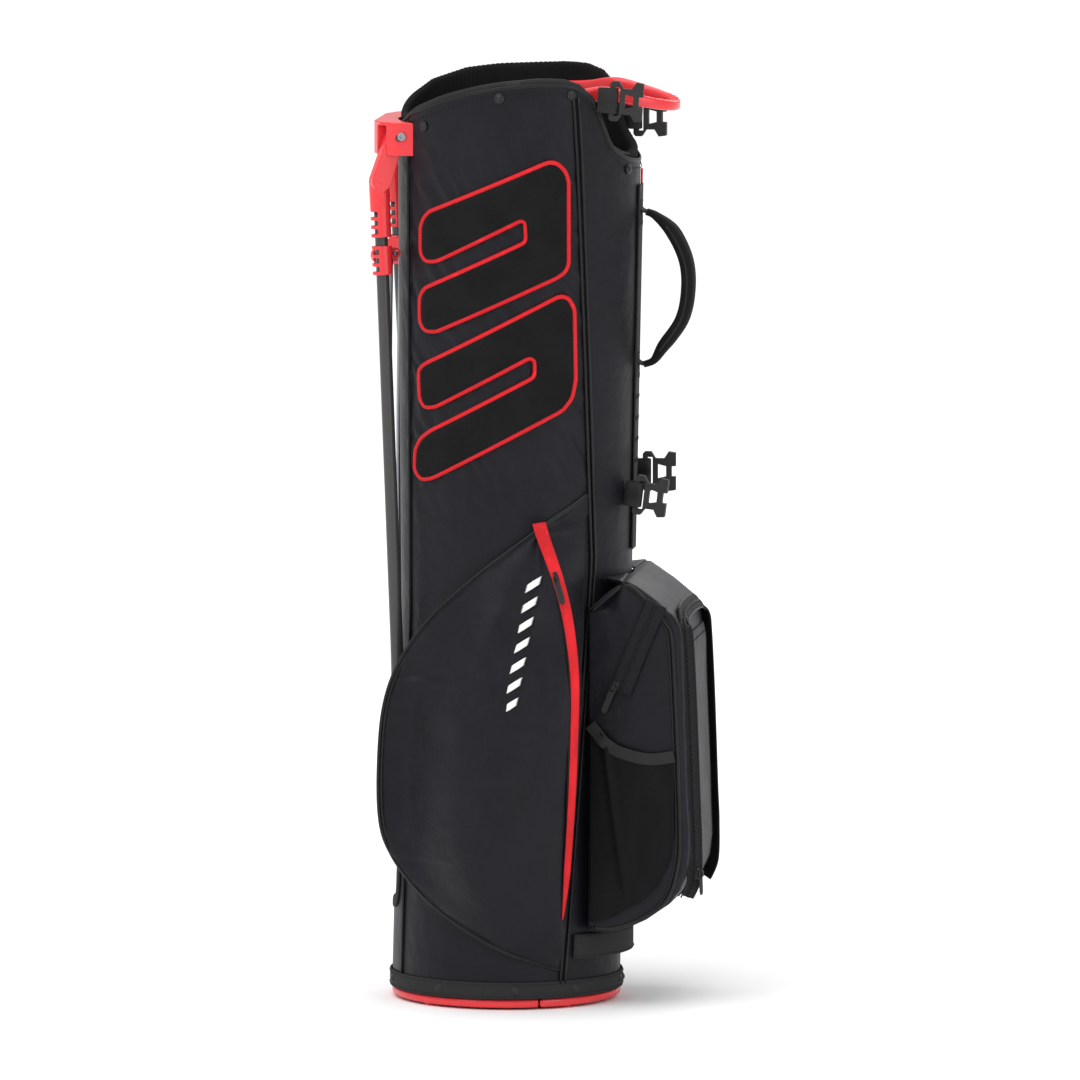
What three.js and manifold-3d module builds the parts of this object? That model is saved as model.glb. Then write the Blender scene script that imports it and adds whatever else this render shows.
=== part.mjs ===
// Golf stand bag: an oval fabric tube with a moulded cuff and sole, two folding legs that the tilting
// front half of the sole pushes out through steel rods, pockets, strap buckles and handles.
// Millimetres. +Z is up, +X is the spine, strap and ball-pocket side, the legs fold against the -X side.
// The origin is the middle of the base, on the ground.
import * as THREE from "three";
import { mergeVertices } from "three/addons/utils/BufferGeometryUtils.js";
import Module from "manifold-3d";

const wasm = await Module();
wasm.setup();

// Driving dimensions of the fabric tube.
const TUBE_CENTRE = [[22, 0.5], [370, 10], [800, 13]]; // height, x of the oval's centre
const TUBE_HALF_LENGTH = [[22, 106.5], [370, 107.5], [800, 113]]; // height, half length along x
const TUBE_HALF_WIDTH = 100; // half width along y, at every height
const FABRIC = 1.6; // thickness of a fabric panel
const SEAM_GAP = 0.12; // degrees left open at each panel edge
const SIDE_SEAM = [[10, 54], [420, 42], [870, 56]]; // height, degrees from +X
const LEG_SEAM = 148; // degrees from +X
// Fabric edge at the club mouth: x, height.
const MOUTH_EDGE = [
  [-101, 817], [-81, 836], [-51, 850], [-21, 859], [8, 864.5], [46, 868], [68, 867], [80, 863], [90, 856],
  [95, 846], [102, 823], [106, 810], [111, 802], [119, 795], [128, 790],
];

// Sole, hinge and stand linkage.
const SOLE_SPLIT = 44; // x of the parting line between the two soles
const SOLE_LENGTH = 107.5;
const SOLE_WIDTH = 101;
const SOLE_TOP = 10;
const HINGE_Z = 15.2;
const FLAP_ROOM = 0.165; // slope of the fabric's lower edge over the rising front sole
const ROD_FOOT = [-90, -9, 24]; // rod end in the socket of the front sole
const ROD_HEAD = [-99, -39, 703]; // rod hook in the leg collar
const ROD_RADIUS = 2;

// Legs.
const LEG_EYE = [-98.4, -46, 811.5];
const LEG_AXIS = [-0.44, 0.896, -0.05];
const ROD_AXIS = [0.462, -0.886, -0.033];
const LEG_ELBOW = [-112, -51, 771];
const LEG_TOP = [-110.5, -52, 742];
const LEG_END = [-86, -72, 160];
const LEG_RADIUS = 6;
const EYE_THICK = 12;

// Colours.
const FABRIC_BLACK = 0x2c2c33;
const PAD_BLACK = 0x1d1e20;
const PLASTIC_BLACK = 0x19191b;
const PLASTIC_RED = 0xe43237;
const CARBON = 0x3a3a3c;
const STEEL = 0x9a9ca0;

const group = new THREE.Group();
const vec = (list) => new THREE.Vector3(...list);
const radians = (degrees) => (degrees * Math.PI) / 180;
const smooth = (t) => THREE.MathUtils.smoothstep(t, 0, 1);

// Straight-line reading of a short list of [key, value] pairs.
function read(pairs, key) {
  if (key <= pairs[0][0]) return pairs[0][1];
  for (let i = 1; i < pairs.length; i++) {
    const [k0, v0] = pairs[i - 1];
    const [k1, v1] = pairs[i];
    if (key <= k1) return v0 + ((v1 - v0) * (key - k0)) / (k1 - k0);
  }
  return pairs[pairs.length - 1][1];
}

const edgeHeight = (x) => read(MOUTH_EDGE, x);
const hemHeight = (x) => 11 + Math.max(0, SOLE_SPLIT - x) * FLAP_ROOM;
const halfWidthAt = (x, z, offset = 0) => {
  const reach = (x - read(TUBE_CENTRE, z)) / (read(TUBE_HALF_LENGTH, z) + offset);
  return (TUBE_HALF_WIDTH + offset) * Math.sqrt(Math.max(0, 1 - reach * reach));
};

// Point on the tube at an angle from +X (near side, -Y, is positive), a height and an offset outwards.
function onTube(degrees, z, offset) {
  const angle = radians(degrees);
  const x = read(TUBE_CENTRE, z) + (read(TUBE_HALF_LENGTH, z) + offset) * Math.cos(angle);
  return [x, -(TUBE_HALF_WIDTH + offset) * Math.sin(angle), z];
}

function facingOut(geometry) {
  const p = geometry.attributes.position;
  const index = geometry.index.array;
  const [a, b, c] = [new THREE.Vector3(), new THREE.Vector3(), new THREE.Vector3()];
  let volume = 0;
  for (let i = 0; i < index.length; i += 3) {
    a.fromBufferAttribute(p, index[i]);
    b.fromBufferAttribute(p, index[i + 1]);
    c.fromBufferAttribute(p, index[i + 2]);
    volume += a.dot(b.cross(c));
  }
  if (volume < 0) {
    for (let i = 0; i < index.length; i += 3) {
      [index[i], index[i + 1]] = [index[i + 1], index[i]];
    }
  }
  return geometry;
}

function indexed(positions, triangles) {
  const geometry = new THREE.BufferGeometry();
  geometry.setAttribute("position", new THREE.Float32BufferAttribute(positions, 3));
  geometry.setIndex(triangles);
  return facingOut(geometry);
}

// Closed solid between two surfaces given over the same (u, v) square; a ring closes on itself in u.
function slab(columns, rows, outer, inner, ring = false) {
  const lines = ring ? columns : columns + 1;
  const positions = [];
  for (const surface of [outer, inner]) {
    for (let i = 0; i < lines; i++) {
      for (let j = 0; j <= rows; j++) positions.push(...surface(i / columns, j / rows));
    }
  }
  const at = (side, i, j) => (side * lines + (i % lines)) * (rows + 1) + j;
  const triangles = [];
  const quad = (a, b, c, d) => triangles.push(a, b, c, a, c, d);
  for (let i = 0; i < columns; i++) {
    for (let j = 0; j < rows; j++) {
      quad(at(0, i, j), at(0, i + 1, j), at(0, i + 1, j + 1), at(0, i, j + 1));
      quad(at(1, i, j), at(1, i, j + 1), at(1, i + 1, j + 1), at(1, i + 1, j));
    }
    quad(at(0, i, 0), at(1, i, 0), at(1, i + 1, 0), at(0, i + 1, 0));
    quad(at(0, i, rows), at(0, i + 1, rows), at(1, i + 1, rows), at(1, i, rows));
  }
  if (!ring) {
    for (let j = 0; j < rows; j++) {
      quad(at(0, 0, j), at(0, 0, j + 1), at(1, 0, j + 1), at(1, 0, j));
      quad(at(0, columns, j), at(1, columns, j), at(1, columns, j + 1), at(0, columns, j + 1));
    }
  }
  return indexed(positions, triangles);
}

// Closed solid through a row of convex loops with equal point counts.
function loft(loops) {
  const count = loops[0].length;
  const positions = loops.flat().flatMap((p) => [p.x, p.y, p.z]);
  const triangles = [];
  for (let i = 0; i + 1 < loops.length; i++) {
    for (let j = 0; j < count; j++) {
      const a = i * count + j;
      const b = i * count + ((j + 1) % count);
      triangles.push(a, b, b + count, a, b + count, a + count);
    }
  }
  const last = (loops.length - 1) * count;
  for (let j = 1; j + 1 < count; j++) {
    triangles.push(0, j + 1, j, last, last + j, last + j + 1);
  }
  return indexed(positions, triangles);
}

// Band along a curve: `across` is the width direction, the sizes are half sizes along the way.
function band(curve, steps, across, halfWide, halfThick, corner = 0) {
  const loops = [];
  for (let i = 0; i <= steps; i++) {
    const t = i / steps;
    const centre = curve.getPoint(t);
    const wide = halfWide(t);
    const thick = halfThick(t);
    const through = across.clone().cross(curve.getTangent(t)).normalize();
    const c = corner * Math.min(wide, thick);
    const outline = [[wide, thick], [-wide, thick], [-wide, -thick], [wide, -thick]].flatMap(([w, h]) => {
      if (c === 0) return [[w, h]];
      const along = [w, h - Math.sign(h) * c];
      const over = [w - Math.sign(w) * c, h];
      return w * h > 0 ? [along, over] : [over, along];
    });
    loops.push(outline.map(([w, h]) => centre.clone().addScaledVector(across, w).addScaledVector(through, h)));
  }
  return loft(loops);
}

const solid = (geometry) => {
  const plain = geometry.clone();
  plain.deleteAttribute("normal");
  plain.deleteAttribute("uv");
  const welded = mergeVertices(plain, 1e-4);
  const mesh = new wasm.Mesh({
    numProp: 3,
    vertProperties: new Float32Array(welded.attributes.position.array),
    triVerts: new Uint32Array(welded.index.array),
  });
  return new wasm.Manifold(mesh);
};
const shell = (manifold) => {
  const mesh = manifold.getMesh();
  return indexed(Array.from(mesh.vertProperties), Array.from(mesh.triVerts));
};
const joined = (...geometries) => geometries.map(solid).reduce((all, one) => all.add(one));
const without = (base, ...geometries) => geometries.map(solid).reduce((all, one) => all.subtract(one), base);

const box = (x0, x1, y0, y1, z0, z1) =>
  new THREE.BoxGeometry(x1 - x0, y1 - y0, z1 - z0).translate((x0 + x1) / 2, (y0 + y1) / 2, (z0 + z1) / 2);

// Solid oval column following the tube at an offset, between two heights.
function column(offset, z0, z1, sides = 44) {
  const ring = (z) => Array.from({ length: sides }, (_, i) => vec(onTube((i * 360) / sides, z, offset)));
  const bend = TUBE_CENTRE[1][0];
  return loft(z0 < bend && bend < z1 ? [ring(z0), ring(bend), ring(z1)] : [ring(z0), ring(z1)]);
}

// Straight rod or ring between two points.
function rod(from, to, radius, sides = 12) {
  const along = to.clone().sub(from);
  const turn = new THREE.Quaternion().setFromUnitVectors(new THREE.Vector3(0, 1, 0), along.clone().normalize());
  return new THREE.CylinderGeometry(radius, radius, along.length(), sides)
    .applyQuaternion(turn)
    .translate(...from.clone().lerp(to, 0.5).toArray());
}

// Flat shape set in space: its x and y run along two directions, its thickness is centred on the third.
function plate(shape, thick, origin, right, up, curveSegments = 8) {
  const out = right.clone().cross(up).normalize();
  const basis = new THREE.Matrix4().makeBasis(right, up, out).setPosition(origin);
  return new THREE.ExtrudeGeometry(shape, { depth: thick, bevelEnabled: false, curveSegments })
    .translate(0, 0, -thick / 2)
    .applyMatrix4(basis);
}

function outline(points, holes = []) {
  const shape = new THREE.Shape(points.map(([x, y]) => new THREE.Vector2(x, y)));
  for (const hole of holes) shape.holes.push(new THREE.Path(hole.map(([x, y]) => new THREE.Vector2(x, y))));
  return shape;
}

// Outline of a strap of material around two circles.
function linkOutline(from, fromRadius, to, toRadius, steps = 6) {
  const away = Math.atan2(to.y - from.y, to.x - from.x);
  const arc = (centre, radius, start) =>
    Array.from({ length: steps + 1 }, (_, i) => {
      const angle = start + (Math.PI * i) / steps;
      return [centre.x + radius * Math.cos(angle), centre.y + radius * Math.sin(angle)];
    });
  return outline([...arc(to, toRadius, away - Math.PI / 2), ...arc(from, fromRadius, away + Math.PI / 2)]);
}

function add(name, geometry, colour, roughness = 0.6, metalness = 0) {
  const material = new THREE.MeshStandardMaterial({ color: colour, roughness, metalness });
  const mesh = new THREE.Mesh(geometry, material);
  mesh.name = name;
  group.add(mesh);
}

function mirrored(geometry) {
  const plain = geometry.index ? geometry.clone() : mergeVertices(geometry.clone().deleteAttribute("normal"), 1e-4);
  return facingOut(plain.scale(1, -1, 1));
}

function addPair(suffix, geometry, colour, roughness, metalness) {
  add(`near_${suffix}`, geometry, colour, roughness, metalness);
  add(`far_${suffix}`, mirrored(geometry), colour, roughness, metalness);
}

// ---------------------------------------------------------------------------------- fabric panels
function panel(columns, rows, from, to, top = edgeHeight) {
  const point = (offset) => (u, v) => {
    let z = 20 + v * 830;
    let degrees = 0;
    for (let pass = 0; pass < 3; pass++) {
      degrees = THREE.MathUtils.lerp(from(z), to(z), u);
      const x = onTube(degrees, z, 0)[0];
      z = THREE.MathUtils.lerp(hemHeight(x), top(x), v);
    }
    return onTube(degrees, z, offset);
  };
  return slab(columns, rows, point(0), point(-FABRIC));
}
const sideSeam = (z) => read(SIDE_SEAM, z);
addPair(
  "side_panel",
  panel(12, 6, (z) => sideSeam(z) + SEAM_GAP, () => LEG_SEAM - SEAM_GAP),
  FABRIC_BLACK,
);
add("spine_panel", panel(12, 6, (z) => SEAM_GAP - sideSeam(z), (z) => sideSeam(z) - SEAM_GAP), PAD_BLACK, 0.7);
const rodSlot = box(-125, -60, -39, 39, 92, 224);
const legPanel = panel(8, 6, () => LEG_SEAM + SEAM_GAP, () => 360 - LEG_SEAM - SEAM_GAP);
add("leg_side_panel", shell(without(solid(legPanel), rodSlot)), FABRIC_BLACK);

// ---------------------------------------------------------------------------------- cuff and inside
function cuffBand(outer, inner, below, above) {
  const point = (offset) => (u, v) => {
    const [x] = onTube(u * 360, 820, 0);
    return onTube(u * 360, edgeHeight(x) - below + v * (below + above), offset);
  };
  return slab(48, 1, point(outer), point(inner), true);
}
add("cuff_ring", cuffBand(-2.7, -5.3, 26, 5), PLASTIC_BLACK, 0.5);
add("cuff_lining", cuffBand(-6, -8.6, 70, 6.5), PAD_BLACK, 0.95);

const DIVIDER_X = 14;
const dividerTop = outline([[-85, 690], [103, 690], [103, 772], [78, 838], [30, 850], [-85, 816]]);
const longWall = plate(dividerTop, 5, vec([0, 0, 0]), vec([1, 0, 0]), vec([0, 0, 1]));
const crossWall = box(DIVIDER_X - 2.5, DIVIDER_X + 2.5, -88, 88, 690, 842);
add("club_divider", shell(joined(longWall, crossWall)), PAD_BLACK, 0.9);

function stay(degrees, z0, z1) {
  const point = (offset) => (u, v) => onTube(degrees + (u - 0.5) * 9, z0 + v * (z1 - z0), offset);
  return slab(2, 4, point(-3), point(-5.4));
}
add("spine_stay", stay(0, 92, 716), CARBON, 0.4, 0.3);
addPair("side_stay", stay(100, 92, 780), CARBON, 0.4, 0.3);

const cupOuter = solid(column(-2.7, 30, 92)).intersect(solid(box(-76, 130, -120, 120, 20, 100)));
const cupInner = solid(column(-5.2, 33, 99)).intersect(solid(box(-73, 130, -120, 120, 20, 100)));
const cupSkirt = solid(column(-2.7, 10.6, 31))
  .subtract(solid(column(-5.2, 5, 40)))
  .intersect(solid(box(58, 130, -120, 120, 0, 50)));
add("base_cup", shell(cupOuter.subtract(cupInner).add(cupSkirt)), PLASTIC_BLACK, 0.55);

// ---------------------------------------------------------------------------------- two-part sole
const PIN_RADIUS = 2;
const KNUCKLE_RADIUS = 4.5;
function soleHalf(keep, pads, knuckles, web) {
  const oval = Array.from({ length: 40 }, (_, i) => {
    const angle = (i * Math.PI) / 20;
    return new THREE.Vector2(0.5 + SOLE_LENGTH * Math.cos(angle), SOLE_WIDTH * Math.sin(angle));
  });
  const ring = (grow, z) => oval.map((p) => vec([p.x * grow, p.y * grow, z]));
  let half = solid(loft([ring(0.975, 2), ring(1, 4), ring(1, 8.6), ring(0.99, SOLE_TOP)])).intersect(solid(keep));
  for (const [x, y, w, d] of pads) half = half.add(solid(box(x - w / 2, x + w / 2, y - d / 2, y + d / 2, 0, 3)));
  for (const [y0, y1] of knuckles) {
    const barrel = rod(vec([SOLE_SPLIT, y0, HINGE_Z]), vec([SOLE_SPLIT, y1, HINGE_Z]), KNUCKLE_RADIUS);
    half = half.add(solid(barrel)).add(solid(box(web[0], web[1], y0, y1, 8, HINGE_Z)));
  }
  const bore = rod(vec([SOLE_SPLIT, -70, HINGE_Z]), vec([SOLE_SPLIT, 70, HINGE_Z]), PIN_RADIUS + 0.4);
  return half.subtract(solid(bore));
}
const frontKnuckles = [[-60, -40], [-10, 10], [40, 60]];
const rearKnuckles = [[-39.4, -10.6], [10.6, 39.4]];
const frontPads = [[0, 0, 60, 60], [-82, 0, 14, 60], [-56, -70, 16, 12], [-56, 70, 16, 12]];
const rearPads = [[62, -66, 14, 12], [62, 66, 14, 12], [92, 0, 10, 50]];
const socketHoles = [-9, 9].map((y) => box(-95, -85, y - 5, y + 5, 15, 40));
const socket = box(-97, -83, -16, 16, 8, 30);
const frontKeep = box(-130, SOLE_SPLIT - 0.6, -120, 120, 0, 20);
const rearKeep = box(SOLE_SPLIT + 0.6, 130, -120, 120, 0, 20);
const frontHalf = soleHalf(frontKeep, frontPads, frontKnuckles, [SOLE_SPLIT - 4.5, SOLE_SPLIT - 0.8]);
add("front_sole", shell(without(frontHalf.add(solid(socket)), ...socketHoles)), PLASTIC_RED, 0.45);
const rearHalf = soleHalf(rearKeep, rearPads, rearKnuckles, [SOLE_SPLIT + 0.8, SOLE_SPLIT + 4.5]);
add("rear_sole", shell(rearHalf), PLASTIC_RED, 0.45);
add("sole_hinge_pin", rod(vec([SOLE_SPLIT, -60, HINGE_Z]), vec([SOLE_SPLIT, 60, HINGE_Z]), PIN_RADIUS), STEEL, 0.35, 1);

// ---------------------------------------------------------------------------------- leg housing
const eye = vec(LEG_EYE);
const legAxis = vec(LEG_AXIS).normalize();
const HOUSING = { y: 60, front: 119, low: 796, high: 827 };
function housing() {
  const plan = outline([
    [-66, -HOUSING.y], [-98, -HOUSING.y], [-111, -54], [-HOUSING.front, -34],
    [-HOUSING.front, 34], [-111, 54], [-98, HOUSING.y], [-66, HOUSING.y],
  ]);
  const height = HOUSING.high - HOUSING.low;
  const middle = vec([0, 0, (HOUSING.high + HOUSING.low) / 2]);
  let body = solid(plate(plan, height, middle, vec([1, 0, 0]), vec([0, 1, 0])));
  body = body.subtract(solid(column(0.6, 780, 850)));
  for (const side of [1, -1]) {
    const axis = vec([legAxis.x, legAxis.y * side, legAxis.z]);
    const centre = vec([eye.x, eye.y * side, eye.z]);
    const upright = vec([0, 0, 1]);
    const outward = vec([-Math.abs(axis.y), axis.x * side, 0]).normalize();
    const slot = new THREE.BoxGeometry(60, EYE_THICK + 2, 40);
    const basis = new THREE.Matrix4().makeBasis(outward, upright.clone().cross(outward), upright);
    slot.translate(16, 0, -7.5).applyMatrix4(basis.setPosition(centre));
    const bore = rod(centre.clone().addScaledVector(axis, -40), centre.clone().addScaledVector(axis, 12.6), 3);
    body = body.subtract(solid(slot)).subtract(solid(bore));
  }
  return shell(body);
}
add("leg_housing", housing(), PLASTIC_RED, 0.42);
const screwHead = rod(vec([-89, -HOUSING.y - 0.4, 814]), vec([-89, -HOUSING.y - 2.4, 814]), 4);
const screwSocket = rod(vec([-89, -HOUSING.y - 1.4, 814]), vec([-89, -HOUSING.y - 3, 814]), 2, 6);
addPair("housing_screw", shell(without(solid(screwHead), screwSocket)), PLASTIC_BLACK, 0.4, 0.6);

// ---------------------------------------------------------------------------------- legs and rods
const legTop = vec(LEG_TOP);
const legEnd = vec(LEG_END);
const legDown = legEnd.clone().sub(legTop).normalize();
const legAt = (z) => legTop.clone().addScaledVector(legDown, (z - legTop.z) / legDown.z);
const inPlane = (v, normal) => v.clone().addScaledVector(normal, -v.dot(normal));

// Sleeve around the leg tube between two heights, its wall cut into fingers on the side away from the bag.
function sleeve(top, bottom, outer, windows) {
  const bore = LEG_RADIUS + 0.4;
  const long = legAt(top).distanceTo(legAt(bottom));
  const profile = [[bore, 0], [outer, 0], [outer, long], [bore, long], [bore, 0]];
  const ring = new THREE.LatheGeometry(profile.map(([r, h]) => new THREE.Vector2(r, h)), 16);
  const turn = new THREE.Quaternion().setFromUnitVectors(new THREE.Vector3(0, 1, 0), legDown);
  const wall = solid(ring.applyQuaternion(turn).translate(...legAt(top).toArray()));
  const pitch = (long - 3) / windows;
  const cuts = Array.from({ length: windows }, (_, i) => {
    const window = new THREE.BoxGeometry(16, pitch - 3.2, 30).applyQuaternion(turn);
    return window.translate(...legAt(top).addScaledVector(legDown, 3.4 + pitch * (i + 0.5) - 1.6).toArray())
      .translate(-9, 0, 0);
  });
  return shell(without(wall, ...cuts));
}

function knuckle() {
  const elbow = vec(LEG_ELBOW);
  const right = inPlane(elbow.clone().sub(eye), legAxis).normalize();
  const up = legAxis.clone().cross(right).normalize();
  const reach = inPlane(elbow.clone().sub(eye), legAxis).length();
  const arm = plate(
    linkOutline(new THREE.Vector2(0, 0), 8.4, new THREE.Vector2(reach, 0), 9.5), EYE_THICK, eye, right, up,
  );
  const ball = new THREE.SphereGeometry(9.8, 12, 8).translate(...elbow.toArray());
  const neck = rod(elbow, legAt(745.4), 9.6, 14);
  const pin = rod(eye.clone().addScaledVector(legAxis, -20), eye.clone().addScaledVector(legAxis, 20), 3);
  return shell(without(joined(arm, ball, neck, sleeve(746, 719, 9.6, 3)), pin));
}
addPair("leg_knuckle", knuckle(), PLASTIC_RED, 0.42);
const pinFrom = eye.clone().addScaledVector(legAxis, -12.4);
const pinTo = eye.clone().addScaledVector(legAxis, 12.2);
addPair("leg_pivot_pin", rod(pinFrom, pinTo, 2.6), STEEL, 0.35, 1);

function legTube() {
  const long = legAt(744).distanceTo(legAt(172));
  const profile = [[4.8, 0], [LEG_RADIUS, 0], [LEG_RADIUS, long], [4.8, long], [4.8, 0]];
  const tube = new THREE.LatheGeometry(profile.map(([r, h]) => new THREE.Vector2(r, h)), 18);
  const turn = new THREE.Quaternion().setFromUnitVectors(new THREE.Vector3(0, 1, 0), legDown);
  return shell(solid(tube.applyQuaternion(turn).translate(...legAt(744).toArray())));
}
addPair("leg_tube", legTube(), CARBON, 0.35, 0.2);

const rodHead = vec(ROD_HEAD);
const rodAxis = vec(ROD_AXIS).normalize();
function collar() {
  const middle = legAt(701);
  const right = inPlane(rodHead.clone().sub(middle), rodAxis).normalize();
  const up = rodAxis.clone().cross(right).normalize();
  const root = inPlane(middle.clone().sub(rodHead), rodAxis).dot(right);
  const lug = plate(
    linkOutline(new THREE.Vector2(root, 0), 8, new THREE.Vector2(0, 0), 5), 6, rodHead, right, up,
  );
  const bore = rod(legAt(740), legAt(660), LEG_RADIUS + 0.35, 14);
  const hook = rod(rodHead.clone().addScaledVector(rodAxis, -9), rodHead.clone().addScaledVector(rodAxis, 9), 2.8, 12);
  return shell(without(solid(lug), bore).add(solid(sleeve(711, 684, 9.6, 3))).subtract(solid(hook)));
}
addPair("leg_collar", collar(), PLASTIC_RED, 0.42);

function foot() {
  const profile = [[0, -2], [6.5, -2], [8.4, 0], [8.4, 30], [7.4, 34], [6.4, 34], [6.4, 10], [0, 10]];
  const rubber = new THREE.LatheGeometry(profile.map(([r, h]) => new THREE.Vector2(r, h)), 18);
  const turn = new THREE.Quaternion().setFromUnitVectors(new THREE.Vector3(0, 1, 0), legDown.clone().negate());
  return shell(solid(rubber.applyQuaternion(turn).translate(...legAt(160).toArray())));
}
addPair("leg_foot", foot(), PLASTIC_BLACK, 0.9);

function linkRod() {
  const side = rodHead.clone().addScaledVector(rodAxis, -7.5);
  const points = [
    rodHead.clone().addScaledVector(rodAxis, 2.4), rodHead.clone().addScaledVector(rodAxis, -3.4), side,
    side.clone().add(vec([-1.2, 2, -6])), vec([-104.5, -25, 375]), vec([-101.5, -18, 200]), vec([-94, -11, 80]),
    vec([ROD_FOOT[0], ROD_FOOT[1], ROD_FOOT[2] + 14]), vec(ROD_FOOT),
  ];
  const path = new THREE.CatmullRomCurve3(points, false, "centripetal");
  const across = rodAxis.clone().cross(vec([0, 0, 1])).normalize();
  return band(path, 32, across, () => ROD_RADIUS, () => ROD_RADIUS, 0.58);
}
addPair("link_rod", linkRod(), STEEL, 0.35, 1);

// ---------------------------------------------------------------------------------- apparel pockets
// Each row: height, x and y of the front edge, x where that edge meets the tube, bulge beyond the tube.
const POCKET_ROWS = [
  [37, 60, 84, 62, 2], [58, 8, 105, 16, 9], [91, -46, 99, -36, 20], [119, -75, 99, -50, 32],
  [148, -94, 103, -56, 41], [176, -103, 105, -58, 46], [223, -104.6, 106, -58, 48], [282, -100, 106, -57, 45],
  [325, -86, 103, -54, 39], [368, -57, 100, -44, 31], [411, -10, 107, 0, 21], [449, 40, 100, 46, 12],
  [464, 60, 91, 62, 2],
];
const ZIP_TOP = vec([51, -112, 445]);
const ZIP_MID = vec([83, -128, 315]);
const ZIP_LOW = vec([68, -104, 89]);
const pocketRow = (z, item) => read(POCKET_ROWS.map((row) => [row[0], row[item]]), z);

// Circle through the three zip points: centre, radius, and the point on it at a height.
const zipArc = (() => {
  const a = ZIP_TOP.clone().sub(ZIP_LOW);
  const b = ZIP_MID.clone().sub(ZIP_LOW);
  const normal = a.clone().cross(b);
  const spread = b.clone().multiplyScalar(a.lengthSq()).sub(a.clone().multiplyScalar(b.lengthSq()));
  const centre = spread.cross(normal).divideScalar(2 * normal.lengthSq()).add(ZIP_LOW);
  const radius = centre.distanceTo(ZIP_LOW);
  normal.normalize();
  const east = ZIP_MID.clone().sub(centre).normalize();
  const north = normal.clone().cross(east).normalize();
  const at = (angle) =>
    centre.clone().addScaledVector(east, radius * Math.cos(angle)).addScaledVector(north, radius * Math.sin(angle));
  const rising = at(0.05).z > at(0).z ? 1 : -1;
  const atHeight = (z) => {
    let [low, high] = [-1.1, 1.1];
    for (let i = 0; i < 40; i++) {
      const middle = (low + high) / 2;
      if (at(rising * middle).z < z) low = middle;
      else high = middle;
    }
    return rising * low;
  };
  return { centre, normal, radius, at, atHeight };
})();

function apparelPocket() {
  const ridgeAt = (z) => {
    const held = Math.min(ZIP_TOP.z, Math.max(ZIP_LOW.z, z));
    return zipArc.at(zipArc.atHeight(held));
  };
  const section = (z) => {
    const [left, leftY, foot, bulge] = [1, 2, 3, 4].map((item) => pocketRow(z, item));
    const ridge = ridgeAt(z);
    const seamX = onTube(read(SIDE_SEAM, z) - 1, z, 0)[0];
    const fade = smooth(Math.min(1, (z - 37) / 50)) * smooth(Math.min(1, (464 - z) / 20));
    const skin = (x, lift) => vec([x, -(halfWidthAt(x, z, 0.7) + lift), z]);
    const ridgeX = Math.max(left + 14, ridge.x);
    const ridgeLift = Math.max(2, -ridge.y - halfWidthAt(ridge.x, z, 0.7)) * fade;
    return new THREE.CatmullRomCurve3([
      skin(foot, 0.4), vec([left, -Math.max(leftY, halfWidthAt(left, z, 0.7) + 1.2), z]),
      skin(left + (ridgeX - left) * 0.16, 0.72 * bulge + (left < -90 ? 4 : 0)),
      skin(left + (ridgeX - left) * 0.45, bulge), skin(left + (ridgeX - left) * 0.74, 0.94 * bulge),
      skin(ridgeX, Math.max(1, ridgeLift)), skin(Math.min(85, Math.max(ridgeX + 1, seamX - 3)), 0.4 + 0.18 * ridgeLift),
    ], false, "centripetal");
  };
  const rows = 13;
  const cache = new Map();
  const heightOf = (v) => 37.5 + 426 * v;
  const curveAt = (v) => {
    if (!cache.has(v)) cache.set(v, section(heightOf(v)));
    return cache.get(v);
  };
  const outer = (u, v) => {
    const p = curveAt(v).getPoint(u);
    return [p.x, p.y, heightOf(v)];
  };
  const inner = (u, v) => {
    const first = outer(0, v);
    const last = outer(1, v);
    const x = THREE.MathUtils.lerp(first[0], last[0], u);
    return [x, -halfWidthAt(x, heightOf(v), -9), heightOf(v)];
  };
  return shell(solid(slab(15, rows, outer, inner)).subtract(solid(column(0.8, 20, 500))));
}
addPair("apparel_pocket", apparelPocket(), FABRIC_BLACK, 0.6);

// ---------------------------------------------------------------------------------- ball pocket
const BALL = { low: 73, high: 403, side: 88.5 };
const FRONT_X = [[73, 118], [84, 146], [116, 181], [150, 184.5], [350, 177], [371, 172], [403, 130]];
const ballSideY = (x) => 77 + (x - BALL.side) * 0.092;
function ballPocket() {
  const outer = (u, v) => {
    const z = BALL.low + (BALL.high - BALL.low) * v;
    const front = read(FRONT_X, z);
    const corner = Math.min(14, (front - BALL.side) * 0.3);
    const points = [
      [BALL.side, ballSideY(BALL.side)], [(BALL.side + front) / 2, ballSideY((BALL.side + front) / 2)],
      [front - corner, ballSideY(front - corner)], [front - 3, ballSideY(front) - 9], [front + 1, 55], [front + 3, 0],
    ];
    const far = points.slice(0, -1).reverse();
    const loop = [...points.map(([x, y]) => [x, -y]), ...far];
    const place = u * (loop.length - 1);
    const i = Math.min(loop.length - 2, Math.floor(place));
    const t = place - i;
    return [
      THREE.MathUtils.lerp(loop[i][0], loop[i + 1][0], t), THREE.MathUtils.lerp(loop[i][1], loop[i + 1][1], t), z,
    ];
  };
  const inner = (u, v) => {
    const z = BALL.low + (BALL.high - BALL.low) * v;
    return onTube(42 - 84 * u, z, 1.2);
  };
  return slab(18, 9, outer, inner);
}
add("ball_pocket", ballPocket(), FABRIC_BLACK, 0.6);

const sideTurn = new THREE.Vector3(1, -0.092, 0).normalize();
const meshOutline = outline([
  [3, 271], [32, 247], [60, 241], [84, 245], [87, 240], [88, 128], [80, 112], [56, 100], [28, 90], [5, 84],
]);
const meshOrigin = vec([BALL.side, -ballSideY(BALL.side) - 1.9, 0]);
add("mesh_pocket", plate(meshOutline, 1.6, meshOrigin, sideTurn, vec([0, 0, 1])), PAD_BLACK, 0.9);

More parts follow.
